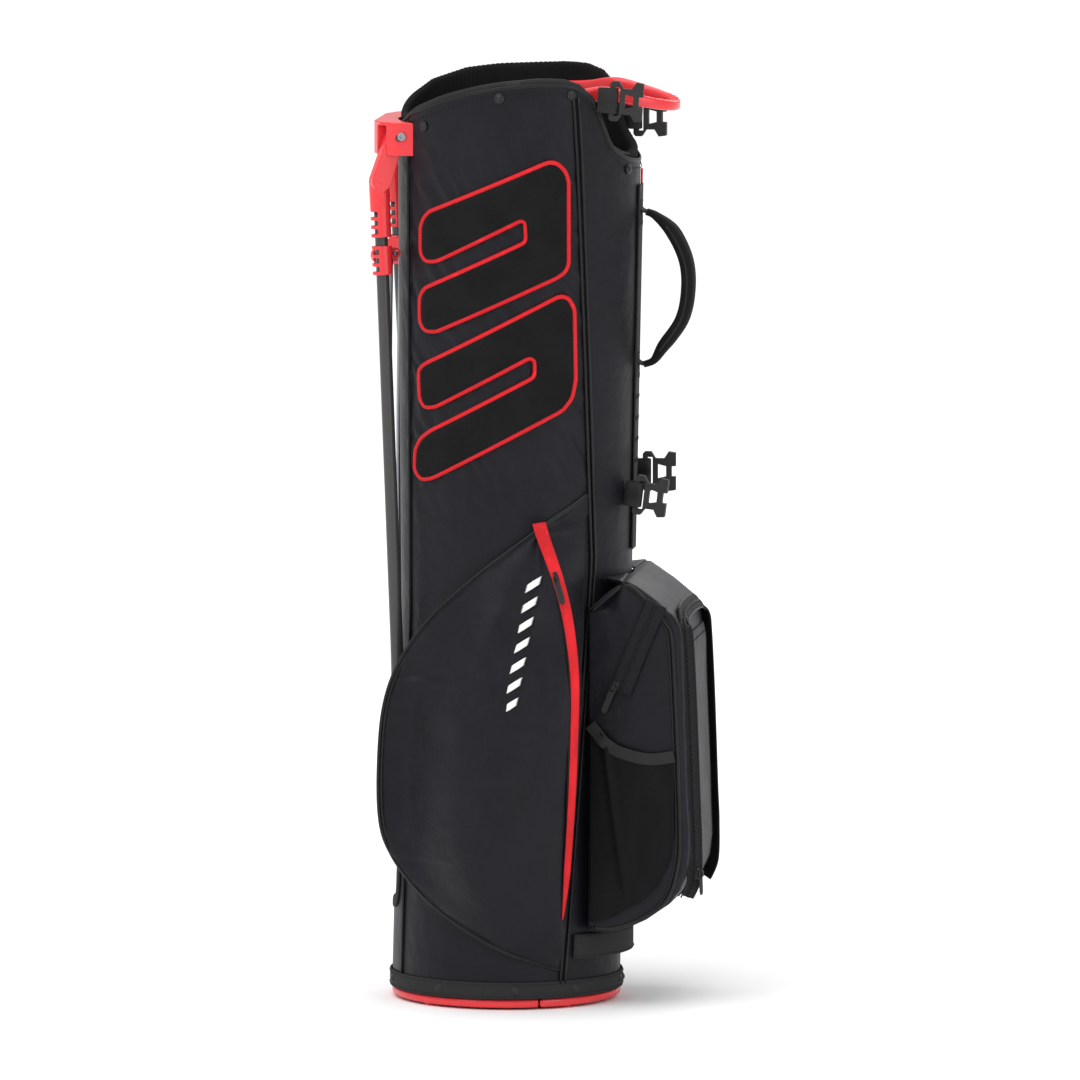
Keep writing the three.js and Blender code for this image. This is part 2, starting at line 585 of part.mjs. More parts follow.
// ---------------------------------------------------------------------------------- hip pads
// Hooked outline of a pad, x and z, leading corner first.
const PAD_UPPER = [
  [-66, 739], [-60, 746], [54, 795], [61, 794], [68, 787], [71, 778], [71, 700], [68, 693], [61, 688], [-54, 635],
  [-65, 635], [-70, 643], [-70, 665], [-65, 674], [32, 720], [34, 724], [33, 740], [29, 742], [-53, 701], [-64, 700],
  [-69, 707], [-69, 731],
];
const PAD_LOWER = [
  [-71, 597], [-65, 603], [64, 670], [71, 668], [76, 658], [77, 592], [74, 575], [66, 564], [-57, 498], [-69, 495],
  [-76, 503], [-75, 522], [-69, 533], [-59, 541], [40, 594], [42, 598], [42, 611], [37, 614], [-54, 565], [-65, 563],
  [-70, 570], [-71, 589],
];
function hipPad(points) {
  const prism = plate(outline(points), 90, vec([0, -95, 0]), vec([1, 0, 0]), vec([0, 0, 1]));
  const cover = (offset) => (u, v) => onTube(36 + 112 * u, 480 + 325 * v, offset);
  return shell(solid(slab(20, 1, cover(6.6), cover(0.6))).intersect(solid(prism)));
}
add("hip_pad_upper", hipPad(PAD_UPPER), PAD_BLACK, 0.85);
add("hip_pad_lower", hipPad(PAD_LOWER), PAD_BLACK, 0.85);

// ---------------------------------------------------------------------------------- zip sliders
function slider(origin, down, out) {
  const across = down.clone().cross(out).normalize();
  const seat = origin.clone().addScaledVector(out, 2.4);
  const tongue = outline([[-3.6, 0.5], [-2.4, 5.5], [2.4, 5.5], [3.6, 0.5], [2.6, -5.5], [-2.6, -5.5]]);
  const body = plate(tongue, 3.2, seat, across, down);
  const archShape = outline([[-3.4, -3], [3.4, -3], [3.4, 1], [2.2, 3], [-2.2, 3], [-3.4, 1]], [
    [[-1.8, -1.6], [-1.8, 1.2], [1.8, 1.2], [1.8, -1.6]],
  ]);
  const arch = plate(archShape, 1.6, seat.clone().addScaledVector(out, 3.6), down, out);
  return shell(joined(body, arch));
}
function pull(origin, down, out, long) {
  const across = down.clone().cross(out).normalize();
  const pin = origin.clone().addScaledVector(out, 6);
  const tab = outline([[-2.8, -0.8], [2.8, -0.8], [2.8, long - 3], [1.4, long], [-1.4, long], [-2.8, long - 3]], [
    [[-1.5, 0.8], [-1.5, 4.4], [1.5, 4.4], [1.5, 0.8]],
  ]);
  return plate(tab, 1.4, pin, across, down);
}
function addZipPull(name, origin, down, out, long, place = add) {
  const square = out.clone().addScaledVector(down, -out.dot(down)).normalize();
  place(`${name}_slider`, slider(origin, down, square), PLASTIC_BLACK, 0.4, 0.6);
  place(`${name}_pull`, pull(origin, down, square, long), PLASTIC_BLACK, 0.6);
}
const zipStart = zipArc.atHeight(410);
const zipSpot = zipArc.at(zipStart);
const zipDown = zipArc.at(zipArc.atHeight(406)).sub(zipArc.at(zipArc.atHeight(414))).normalize();
const zipOut = vec([0.3, -0.95, 0]);
addZipPull("apparel_zip", zipSpot.clone().addScaledVector(zipOut, 0.6), zipDown, zipOut, 26, addPair);
const valuablesDown = vec([-36, 0, -86]).normalize().projectOnPlane(vec([0.092, 1, 0]).normalize()).normalize();
const sideOut = vec([-0.092, -1, 0]).normalize();
addZipPull("valuables_zip", vec([114, -ballSideY(114) - 0.6, 304]), valuablesDown, sideOut, 26);
const ballDown = vec([7, 5, -230]).normalize();
addZipPull("ball_zip", vec([187.5, -66, 128]), ballDown, vec([0.95, -0.3, 0]), 20);

// ---------------------------------------------------------------------------------- straps and handles
const trunkCurve = new THREE.CatmullRomCurve3(
  [48, 32, 16, 0, -16, -32, -48].map((degrees) => {
    const stand = 2.2 + 9 * Math.cos(radians(degrees * 1.8));
    return vec(onTube(degrees, 58, stand));
  }),
);
add("trunk_strap", band(trunkCurve, 16, vec([0, 0, 1]), () => 11.5, () => 1), PAD_BLACK, 0.85);

const liftCurve = new THREE.CatmullRomCurve3(
  [[50, -76.5, 851], [76, -61, 854], [98, -48, 853.5], [128, -42, 848.5], [152, -24, 843], [159, 0, 841.5],
    [152, 24, 843], [128, 42, 848.5], [98, 48, 853.5], [76, 61, 854], [50, 76.5, 851]].map(vec),
);
const liftHalf = (t) => 10 - 4.2 * Math.sin(Math.PI * t);
add("lift_handle", band(liftCurve, 22, vec([0, 0, 1]), liftHalf, () => 5, 0.35), PLASTIC_RED, 0.42);

const grabCurve = new THREE.CatmullRomCurve3(
  [[133, 0, 741], [142, 0, 737], [158, 0, 722], [170, 0, 696], [172, 0, 668], [166, 0, 640], [148, 0, 614],
    [140, 0, 602], [131, 0, 598]].map(vec),
);
const grabWide = (t) => 6 + 9 * smooth(Math.min(1, Math.min(t, 1 - t) * 5));
const grabThick = (t) => 2.2 + 3.2 * smooth(Math.min(1, Math.min(t, 1 - t) * 5));
add("grab_handle", band(grabCurve, 16, vec([0, 1, 0]), grabWide, grabThick, 0.45), PAD_BLACK, 0.8);
for (const [name, z] of [["grab_anchor_upper", 741], ["grab_anchor_lower", 598]]) {
  const x = onTube(0, z, 0)[0];
  add(name, box(x + 0.6, x + 3.2, -12, 12, z - 14, z + 14), PAD_BLACK, 0.85);
}

// ---------------------------------------------------------------------------------- strap buckles
const BUCKLE = { long: 31, tall: 18.5, thick: 8 };
function buckle(bar, right, rise) {
  const { long, tall } = BUCKLE;
  const shape = outline([
    [-3, -tall + 2], [-1, -tall], [5, -tall], [9, -12], [17, -12], [21, -tall], [long - 3, -tall + 1], [long - 3, -5],
    [long - 7, -5], [long - 7, 5], [long - 3, 5], [long - 3, tall - 1], [21, tall], [17, 12], [9, 12], [5, tall],
    [-1, tall], [-3, tall - 2],
  ], [
    [[1.3, -13.5], [1.3, 13.5], [6.4, 13.5], [6.4, -13.5]],
    [[11, -7], [11, 7], [19, 5], [19, -5]],
  ]);
  return plate(shape, BUCKLE.thick, bar, right, rise);
}
// Webbing loop from the tube around the buckle's bar.
function webTab(bar, out, rise, long, half = 11.5) {
  const wide = rise.clone().cross(out).normalize();
  const place = (along, aside) => bar.clone().addScaledVector(out, along).addScaledVector(wide, aside);
  const curve = new THREE.CatmullRomCurve3([
    place(-long, -1.4), place(-8, -4.6), place(-3, -5.6), place(2.2, -5.6), place(4, -2.2), place(4, 2.2),
    place(2.2, 5.6), place(-3, 5.6), place(-8, 4.6), place(-long, 1.4),
  ]);
  return band(curve, 18, rise, () => half, () => 0.5);
}
const straps = [
  ["near_lower", [128.5, -30, 479], [1, -0.05, 0], 12, 0.12], ["far_lower", [128.5, 30, 494], [1, 0.05, 0], 12, 0],
  ["near_upper", [110.5, -70, 851], [1, 0.05, 0], 14, 0.06], ["far_upper", [115, 66, 824], [1, -0.05, 0], 14, 0],
];
for (const [name, bar, out, long, droop] of straps) {
  const level = vec(out).normalize();
  const away = level.clone().multiplyScalar(Math.cos(droop)).add(vec([0, 0, -Math.sin(droop)]));
  const rise = vec([0, 0, Math.cos(droop)]).addScaledVector(level, Math.sin(droop));
  add(`${name}_buckle`, buckle(vec(bar), away, rise), PLASTIC_BLACK, 0.4);
  add(`${name}_web`, webTab(vec(bar), away, rise, long), PAD_BLACK, 0.85);
}

export default group;
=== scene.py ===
"""Golf stand bag: cloth, padding, trim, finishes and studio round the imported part, in millimetres."""

import logging
import math
from dataclasses import dataclass
from enum import Enum
from typing import Callable, Iterable, Sequence

import bmesh
import bpy
from mathutils import Matrix, Vector, noise


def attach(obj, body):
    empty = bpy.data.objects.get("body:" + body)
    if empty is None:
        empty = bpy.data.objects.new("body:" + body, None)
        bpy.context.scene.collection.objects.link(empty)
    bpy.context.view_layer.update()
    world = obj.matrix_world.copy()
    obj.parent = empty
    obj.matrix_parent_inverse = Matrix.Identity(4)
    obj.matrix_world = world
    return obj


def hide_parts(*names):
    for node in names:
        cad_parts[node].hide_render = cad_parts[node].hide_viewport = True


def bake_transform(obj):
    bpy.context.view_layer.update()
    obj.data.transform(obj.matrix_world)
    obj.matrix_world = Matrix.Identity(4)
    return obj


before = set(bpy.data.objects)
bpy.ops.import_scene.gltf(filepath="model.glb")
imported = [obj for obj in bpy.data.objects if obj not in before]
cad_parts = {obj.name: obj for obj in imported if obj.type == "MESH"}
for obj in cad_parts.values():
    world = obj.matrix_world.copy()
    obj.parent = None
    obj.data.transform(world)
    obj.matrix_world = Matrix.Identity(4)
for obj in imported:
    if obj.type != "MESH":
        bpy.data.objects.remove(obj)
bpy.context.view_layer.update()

LOG = logging.getLogger("stand_bag")
METRES = 0.001
TAU = 2 * math.pi
UP = Vector((0, 0, 1))
TO_SPINE = Vector((1, 0, 0))
SPLINE_STEPS = 12
Rows = Sequence[tuple[float, ...]]
Spot = tuple[float, float, float]
Place = Callable[[float, float], Vector]
Section = Callable[[float, float], tuple[float, float]]
Outward = Callable[[Vector], Vector]


class Body(str, Enum):
    """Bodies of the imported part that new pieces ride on."""

    BAG = "bag"
    GRAB = "grab"
    NEAR_LEG = "near_leg"
    FAR_LEG = "far_leg"
    NEAR_ROD = "near_rod"
    FAR_ROD = "far_rod"


class Side(Enum):
    """The two long sides of the bag, by the sign of y."""

    NEAR = -1
    FAR = 1

    @property
    def word(self) -> str:
        """Name used at the front of a piece's name."""
        return self.name.lower()

    def turn(self, point: Sequence[float]) -> Vector:
        """A near side point carried to this side."""
        return Vector((point[0], -self.value * point[1], point[2]))


# ------------------------------------------------------------------------------------------------ numbers


def read(rows: Rows, key: float, item: int = 1) -> float:
    """Straight line reading of a table.

    Args:
        rows: Rows whose first number rises.
        key: Where to read.
        item: Which column to read.

    Returns:
        The value, held at the ends.
    """
    if key <= rows[0][0]:
        return rows[0][item]
    for low, high in zip(rows, rows[1:]):
        if key <= high[0]:
            share = (key - low[0]) / (high[0] - low[0])
            return low[item] + share * (high[item] - low[item])
    return rows[-1][item]


def smooth(t: float) -> float:
    """Smooth step from 0 to 1 as t goes from 0 to 1."""
    t = min(1.0, max(0.0, t))
    return t * t * (3 - 2 * t)


def bowed(value: float, power: float) -> float:
    """The size of a number raised to a power, with the number's sign."""
    return math.copysign(abs(value) ** power, value)


def waver(x: float, y: float, z: float, size: float) -> float:
    """Soft noise, -1 to 1, with features about `size` millimetres across."""
    return noise.noise(Vector((x / size, y / size, z / size)))


def even(points: Sequence[Vector], count: int) -> list[Vector]:
    """Points of a polyline spaced evenly along it.

    Args:
        points: The polyline.
        count: How many spaces to make.

    Returns:
        count + 1 points.
    """
    runs = [0.0]
    for a, b in zip(points, points[1:]):
        runs.append(runs[-1] + (b - a).length)
    spots, i = [], 0
    for step in range(count + 1):
        target = runs[-1] * step / count
        while i < len(runs) - 2 and runs[i + 1] < target:
            i += 1
        span = runs[i + 1] - runs[i] or 1.0
        spots.append(points[i].lerp(points[i + 1], min(1.0, (target - runs[i]) / span)))
    return spots


def spline(points: Iterable[Sequence[float]], count: int, closed: bool = False) -> list[Vector]:
    """Evenly spaced points of a smooth curve through the given ones.

    Args:
        points: Points that the curve passes.
        count: How many spaces to make.
        closed: Whether the curve comes back to its first point.

    Returns:
        count + 1 points, the last equal to the first on a closed curve.
    """
    knots = [Vector(p) for p in points]
    total = len(knots)
    fine: list[Vector] = []
    for i in range(total if closed else total - 1):
        near = [(i + k) % total if closed else min(total - 1, max(0, i + k)) for k in (-1, 0, 1, 2)]
        a, b, c, d = (knots[k] for k in near)
        for step in range(SPLINE_STEPS):
            t = step / SPLINE_STEPS
            bend = (2 * a - 5 * b + 4 * c - d) * t**2 + (3 * b - a - 3 * c + d) * t**3
            fine.append(0.5 * (2 * b + (c - a) * t + bend))
    fine.append(knots[0] if closed else knots[-1])
    return even(fine, count)


# ------------------------------------------------------------------------------------------------ meshes


def grid(columns: int, rows: int, place: Place, flip: bool = False, weld: bool = False) -> bmesh.types.BMesh:
    """A surface bent from a flat grid, with its UV map in millimetres.

    Args:
        columns: Steps along u.
        rows: Steps along v.
        place: Point for u and v, each 0 to 1.
        flip: Whether to turn the faces over.
        weld: Whether touching edges are joined.

    Returns:
        The surface.
    """
    bm = bmesh.new()
    uv = bm.loops.layers.uv.new("UVMap")
    bmesh.ops.create_grid(bm, x_segments=columns, y_segments=rows, size=0.5, calc_uvs=False)
    wide = sum((place(k / 8, 0.5) - place((k + 1) / 8, 0.5)).length for k in range(8))
    tall = sum((place(0.5, k / 8) - place(0.5, (k + 1) / 8)).length for k in range(8))
    for face in bm.faces:
        for loop in face.loops:
            loop[uv].uv = ((loop.vert.co.x + 0.5) * wide, (loop.vert.co.y + 0.5) * tall)
    for vert in bm.verts:
        vert.co = place(vert.co.x + 0.5, vert.co.y + 0.5)
    if flip:
        bmesh.ops.reverse_faces(bm, faces=bm.faces)
    if weld:
        bmesh.ops.remove_doubles(bm, verts=bm.verts, dist=1e-4)
    return bm


def capped(bm: bmesh.types.BMesh) -> bmesh.types.BMesh:
    """Closes the open ends of a form and turns its faces outwards."""
    edges = [edge for edge in bm.edges if edge.is_boundary]
    if edges:
        bmesh.ops.holes_fill(bm, edges=edges, sides=0)
    bmesh.ops.recalc_face_normals(bm, faces=bm.faces)
    return bm


def frames(path: Sequence[Vector], up: Vector | Outward) -> list[tuple[Vector, Vector]]:
    """Directions across a path at each of its points.

    Args:
        path: The path.
        up: A direction, or a function of a point that gives one.

    Returns:
        For each point, the direction nearest up and the one square to it and to the path.
    """
    closed = (path[0] - path[-1]).length < 1e-4
    found = []
    last = len(path) - 1
    for i, point in enumerate(path):
        before = path[last - 1] if closed and i == 0 else path[max(0, i - 1)]
        after = path[1] if closed and i == last else path[min(last, i + 1)]
        along = (after - before).normalized()
        lift = up(point) if callable(up) else up
        lift = (lift - along * lift.dot(along)).normalized()
        found.append((lift, along.cross(lift)))
    return found


def sweep(
    path: Sequence[Vector],
    section: Section,
    up: Vector | Outward,
    sides: int = 12,
) -> bmesh.types.BMesh:
    """A closed form of one section carried along a path.

    Args:
        path: Points of the path. A path that ends where it starts gives a ring.
        section: Distance across and distance up for an angle and a share of the path.
        up: Up direction of the section.
        sides: Points round the section.

    Returns:
        The form, with closed ends.
    """
    turns = frames(path, up)
    last = len(path) - 1

    def place(u: float, v: float) -> Vector:
        """Point on the section's edge."""
        i = round(v * last)
        across, rise = section(u * TAU, v)
        return path[i] + turns[i][1] * across + turns[i][0] * rise

    return capped(grid(sides, last, place, weld=True))


class Layers:
    """Level cross sections of a pocket, each made once."""

    def __init__(self, section: Callable[[float], list[Vector]], count: int) -> None:
        """Keeps the control points' source and the number of spaces round a section."""
        self.section = section
        self.count = count
        self.made: dict[float, list[Vector]] = {}

    def at(self, u: float, z: float) -> Vector:
        """Point at a share of the way round, at a height."""
        key = round(z, 3)
        if key not in self.made:
            self.made[key] = spline(self.section(z), self.count)
        i = min(self.count - 1, int(u * self.count))
        return self.made[key][i].lerp(self.made[key][i + 1], u * self.count - i)


def round_cord(radius: float) -> Section:
    """Section of a round cord."""
    return lambda angle, _: (radius * math.cos(angle), radius * math.sin(angle))


def flat_strap(
    wide: Callable[[float], float] | float, thick: Callable[[float], float] | float, corner: float = 0.35
) -> Section:
    """Section of a strap from its half width and half thickness.

    Args:
        wide: Half width, or a function of the share of the path.
        thick: Half thickness, or a function of the share of the path.
        corner: 1 for an oval, towards 0 for square corners.

    Returns:
        A section for sweep().
    """

    def section(angle: float, share: float) -> tuple[float, float]:
        """Distance across and up."""
        half = wide(share) if callable(wide) else wide
        deep = thick(share) if callable(thick) else thick
        return half * bowed(math.cos(angle), corner), deep * bowed(math.sin(angle), corner)

    return section


def settled(spot: Vector, out: Vector, along: Vector) -> Matrix:
    """Matrix that puts a small shape at a spot, its z outwards and its x along a direction."""
    out = out.normalized()
    along = (along - out * along.dot(out)).normalized()
    turn = Matrix((along, out.cross(along), out)).transposed().to_4x4()
    return Matrix.Translation(spot) @ turn


def pitched(path: Sequence[Vector], pitch: float) -> list[Vector]:
    """Points along a path about one pitch apart."""
    run = sum((b - a).length for a, b in zip(path, path[1:]))
    return even(list(path), max(2, int(run / pitch)))


def stitches(
    path: Sequence[Vector],
    out: Outward,
    long: float = 3.0,
    pitch: float = 4.2,
    thick: float = 0.45,
) -> bmesh.types.BMesh:
    """A row of thread stitches along a path.

    Args:
        path: Where the row runs.
        out: Outward direction at a point.
        long: Length of a stitch.
        pitch: Distance from one stitch to the next.
        thick: Half thickness of the thread.

    Returns:
        The stitches.
    """
    spots = pitched(path, pitch)
    bm = bmesh.new()
    for a, b in zip(spots, spots[1:]):
        matrix = settled(a.lerp(b, 0.5), out(a), b - a) @ Matrix.Diagonal((long / 2, thick, thick, 1))
        bmesh.ops.create_uvsphere(bm, u_segments=6, v_segments=4, radius=1, matrix=matrix)
    return bm


def rivets(spots: Iterable[tuple[Vector, Vector]], radius: float, height: float) -> bmesh.types.BMesh:
    """Domed rivet heads.

    Args:
        spots: Centre and outward direction of each.
        radius: Radius of a head.
        height: How far a head stands out.

    Returns:
        The heads.
    """
    bm = bmesh.new()
    for spot, out in spots:
        base = settled(spot, out, Vector((0.01, 0, 1)))
        washer = base @ Matrix.Diagonal((radius, radius, height * 0.55, 1))
        bmesh.ops.create_uvsphere(bm, u_segments=20, v_segments=8, radius=1, matrix=washer)
        dome = base @ Matrix.Translation((0, 0, height * 0.3))
        dome = dome @ Matrix.Diagonal((radius * 0.62, radius * 0.62, height * 0.7, 1))
        bmesh.ops.create_uvsphere(bm, u_segments=16, v_segments=8, radius=1, matrix=dome)
    return bm


def zip_teeth(path: Sequence[Vector], out: Outward, pitch: float = 2.0) -> bmesh.types.BMesh:
    """The teeth of a closed zip, one side and then the other.

    Args:
        path: Middle line of the zip.
        out: Outward direction at a point.
        pitch: Distance between teeth.

    Returns:
        The teeth.
    """
    spots = pitched(path, pitch)
    bm = bmesh.new()
    for i, (a, b) in enumerate(zip(spots, spots[1:])):
        aside = 0.55 if i % 2 else -0.55
        shape = Matrix.Translation((0, aside, 0.25)) @ Matrix.Diagonal((pitch * 0.5, 2.6, 1.2, 1))
        bmesh.ops.create_cube(bm, size=1, matrix=settled(a, out(a), b - a) @ shape)
    return bm


@dataclass
class Piece:
    """How a finished mesh joins the bag."""

    name: str
    slot: str
    body: Body | None = Body.BAG
    replaces: tuple[str, ...] = ()
    thick: float = 0.0

    def make(self, bm: bmesh.types.BMesh, finish: "Finish") -> bpy.types.Object:
        """Turns a mesh in millimetres into a finished piece.

        Args:
            bm: The mesh, which is used up.
            finish: Its finish.

        Returns:
            The object, riding on its body.
        """
        bmesh.ops.transform(bm, matrix=Matrix.Scale(METRES, 4), verts=bm.verts)
        mesh = bpy.data.meshes.new(self.name)
        bm.to_mesh(mesh)
        bm.free()
        mesh.polygons.foreach_set("use_smooth", [True] * len(mesh.polygons))
        mesh.materials.append(finish.material)
        obj = bpy.data.objects.new(self.name, mesh)
        bpy.context.scene.collection.objects.link(obj)
        if self.thick:
            wall = obj.modifiers.new("wall", "SOLIDIFY")
            wall.thickness = self.thick * METRES
            wall.offset = -1
        if self.body is not None:
            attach(obj, self.body.value)
        if self.replaces:
            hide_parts(*self.replaces)
        LOG.info("%s: %d faces", self.name, len(mesh.polygons))
        return obj


def merged(*parts: bmesh.types.BMesh) -> bmesh.types.BMesh:
    """Several meshes as one."""
    whole = parts[0]
    for part in parts[1:]:
        spare = bpy.data.meshes.new("spare")
        part.to_mesh(spare)
        part.free()
        whole.from_mesh(spare)
        bpy.data.meshes.remove(spare)
    return whole


# ------------------------------------------------------------------------------------------------ shaders


class Wire:
    """An output socket whose arithmetic adds Math nodes."""

    def __init__(self, graph: "Graph", socket: bpy.types.NodeSocket) -> None:
        """Keeps the graph and the socket."""
        self.graph = graph
        self.socket = socket

    def _math(self, operation: str, first: "Wire | float", second: "Wire | float" = 0.0) -> "Wire":
        """One Math node."""
        return self.graph.node("ShaderNodeMath", {"operation": operation}, {0: first, 1: second})

    def __add__(self, other: "Wire | float") -> "Wire":
        """Sum."""
        return self._math("ADD", self, other)

    __radd__ = __add__

    def __sub__(self, other: "Wire | float") -> "Wire":
        """Difference."""
        return self._math("SUBTRACT", self, other)

    def __rsub__(self, other: float) -> "Wire":
        """Difference from a number."""
        return self._math("SUBTRACT", other, self)

    def __mul__(self, other: "Wire | float") -> "Wire":
        """Product."""
        return self._math("MULTIPLY", self, other)

    __rmul__ = __mul__

    def wave(self) -> "Wire":
        """Sine of the value."""
        return self._math("SINE", self)

    def size(self) -> "Wire":
        """Absolute value."""
        return self._math("ABSOLUTE", self)

    def above(self, low: float, high: float) -> "Wire":
        """Smooth mask, 0 below low and 1 above high."""
        settings = {"interpolation_type": "SMOOTHSTEP"}
        return self.graph.node("ShaderNodeMapRange", settings, {0: self, 1: low, 2: high, 3: 0.0, 4: 1.0})


Value = Wire | float | tuple[float, ...]
Colour = tuple[float, float, float, float]


def shade(red: int, green: int, blue: int) -> Colour:
    """A colour from its 0 to 255 screen values."""

    def linear(value: int) -> float:
        """Linear light of one value."""
        part = value / 255
        return part / 12.92 if part <= 0.04045 else ((part + 0.055) / 1.055) ** 2.4

    return linear(red), linear(green), linear(blue), 1.0


def scaled(colour: Colour, factor: float) -> Colour:
    """A colour made lighter or darker."""
    return colour[0] * factor, colour[1] * factor, colour[2] * factor, 1.0


class Graph:
    """The node tree of one finish."""

    def __init__(self, name: str) -> None:
        """Starts an empty material."""
        self.material = bpy.data.materials.new(name)
        self.material.use_nodes = True
        self.tree = self.material.node_tree
        self.tree.nodes.clear()

    def node(
        self,
        kind: str,
        settings: dict[str, object] | None = None,
        inputs: dict[int | str, Value] | None = None,
        output: int = 0,
    ) -> Wire:
        """Adds a node.

        Args:
            kind: Blender's type of node.
            settings: Its properties.
            inputs: Values or links of its sockets.
            output: Which output to hand back.

        Returns:
            The output, or the first input of a node that has no outputs.
        """
        made = self.tree.nodes.new(kind)
        for key, value in (settings or {}).items():
            setattr(made, key, value)
        for key, value in (inputs or {}).items():
            if isinstance(value, Wire):
                self.tree.links.new(value.socket, made.inputs[key])
            else:
                made.inputs[key].default_value = value
        return Wire(self, (made.outputs or made.inputs)[output])

    def mix(self, share: Value, first: Value, second: Value, way: str = "MIX") -> Wire:
        """Mix of two colours."""
        settings = {"data_type": "RGBA", "blend_type": way}
        return self.node("ShaderNodeMix", settings, {0: share, 6: first, 7: second}, 2)

    def tones(self, share: Value, colour: Colour, dark: float, light: float) -> Wire:
        """Mix of a darker and a lighter tone of one colour."""
        return self.mix(share, scaled(colour, dark), scaled(colour, light))

    def weave(self, u: Wire, v: Wire, pitch: float) -> Wire:
        """Checks of one pitch in millimetres, -1 to 1."""
        return (u * (TAU / pitch)).wave() * (v * (TAU / pitch)).wave()

    def place(self, per_metre: float = 1000.0, stretch: Spot = (1, 1, 1)) -> Wire:
        """Object coordinates, in millimetres unless told otherwise."""
        where = self.node("ShaderNodeTexCoord", output=3)
        scale = tuple(per_metre * part for part in stretch)
        return self.node("ShaderNodeMapping", None, {"Vector": where, "Scale": scale})

    def flat(self, angle: float = 0.0) -> tuple[Wire, Wire]:
        """The two numbers of the UV map, in millimetres, turned by an angle in degrees."""
        where = self.node("ShaderNodeUVMap", {"uv_map": "UVMap"})
        turn = (0, 0, math.radians(angle))
        turned = self.node("ShaderNodeMapping", None, {"Vector": where, "Rotation": turn})
        split = "ShaderNodeSeparateXYZ"
        return self.node(split, None, {0: turned}), self.node(split, None, {0: turned}, 1)

    def noise(self, where: Wire, size: float, detail: float = 3.0) -> Wire:
        """Noise with features of a size, in the units of `where`."""
        return self.node("ShaderNodeTexNoise", None, {"Vector": where, "Scale": 1 / size, "Detail": detail})

    def bump(self, height: Wire, depth: float, strength: float = 1.0, below: Wire | None = None) -> Wire:
        """Normal from a height of 0 to 1, that many millimetres deep."""
        inputs: dict[int | str, Value] = {"Height": height, "Distance": depth * METRES, "Strength": strength}
        if below is not None:
            inputs["Normal"] = below
        return self.node("ShaderNodeBump", None, inputs)

    def finish(self, **sockets: Value) -> bpy.types.Material:
        """Ends the tree with a principled surface.

        Args:
            **sockets: Its sockets, with underscores for spaces.

        Returns:
            The material.
        """
        inputs = {key.replace("_", " "): value for key, value in sockets.items()}
        shader = self.node("ShaderNodeBsdfPrincipled", None, inputs)
        self.node("ShaderNodeOutputMaterial", None, {"Surface": shader})
        return self.material


@dataclass(frozen=True)
class CoatedCloth:
    """Woven polyester with a coated, faintly shiny face."""

    name: str
    colour: Colour
    rough: float = 0.46
    thread: float = 0.9
    relief: float = 0.05
    sheen: float = 0.03
    gloss: float = 0.2

    def make(self) -> bpy.types.Material:
        """The material."""
        g = Graph(self.name)
        u, v = g.flat()
        weave = g.weave(u, v, self.thread)
        where = g.place()
        cloud = g.noise(where, 46, 4)
        slub = g.noise(g.place(stretch=(1, 1, 0.16)), 3.2, 2)
        soft = g.noise(where, 17, 3)
        tone = g.tones(cloud.above(0.3, 0.72), self.colour, 0.82, 1.2)
        tone = g.mix(slub.above(0.52, 0.74) * 0.35, tone, scaled(self.colour, 1.7))
        tone = g.mix((weave * 0.5 + 0.5) * 0.3, tone, scaled(self.colour, 0.45))
        crumple = g.bump(soft, 2.0, 0.7)
        normal = g.bump(weave * 0.5 + 0.5 + slub * 0.5, self.relief, 0.8, crumple)
        return g.finish(
            Base_Color=tone,
            Roughness=cloud * 0.16 + slub * 0.1 + (self.rough - 0.13),
            Normal=normal,
            Specular_IOR_Level=self.gloss,
            Sheen_Weight=self.sheen,
            Sheen_Roughness=0.4,
        )


@dataclass(frozen=True)
class PadCloth:
    """Brushed knit over foam."""

    name: str
    colour: Colour
    grain: float = 1.1
    rough: float = 0.86

    def make(self) -> bpy.types.Material:
        """The material."""
        g = Graph(self.name)
        where = g.place()
        pores = g.node("ShaderNodeTexVoronoi", {"feature": "F1"}, {"Vector": where, "Scale": 1 / self.grain}, 0)
        fuzz = g.noise(where, 0.5, 4)
        patch = g.noise(where, 28, 3)
        tone = g.tones(patch.above(0.3, 0.7), self.colour, 0.8, 1.25)
        tone = g.mix(pores.above(0.2, 0.75) * 0.4, tone, scaled(self.colour, 1.7))
        normal = g.bump(1.0 - pores + fuzz * 0.5, 0.12, 0.7)
        return g.finish(
            Base_Color=tone,
            Roughness=fuzz * 0.14 + (self.rough - 0.07),
            Normal=normal,
            Specular_IOR_Level=0.12,
        )


@dataclass(frozen=True)
class Webbing:
    """Ribbed woven tape with a lighter thread in the weave."""

    name: str
    colour: Colour
    rib: float = 1.6
    pick: float = 1.1
    rough: float = 0.72

    def make(self) -> bpy.types.Material:
        """The material."""
        g = Graph(self.name)
        u, v = g.flat()
        twill = ((u * (TAU / self.rib)) + (v * (TAU / self.pick))).wave() * (v * (TAU / self.pick)).wave()
        height = twill * 0.5 + 0.5
        wear = g.noise(g.place(), 9, 4)
        tone = g.tones(height, self.colour, 0.55, 1.5)
        tone = g.mix(wear.above(0.55, 0.8) * 0.4, tone, scaled(self.colour, 2.0))
        return g.finish(
            Base_Color=tone,
            Roughness=wear * 0.16 + (self.rough - 0.08),
            Normal=g.bump(height, 0.22, 0.8),
            Specular_IOR_Level=0.2,
        )


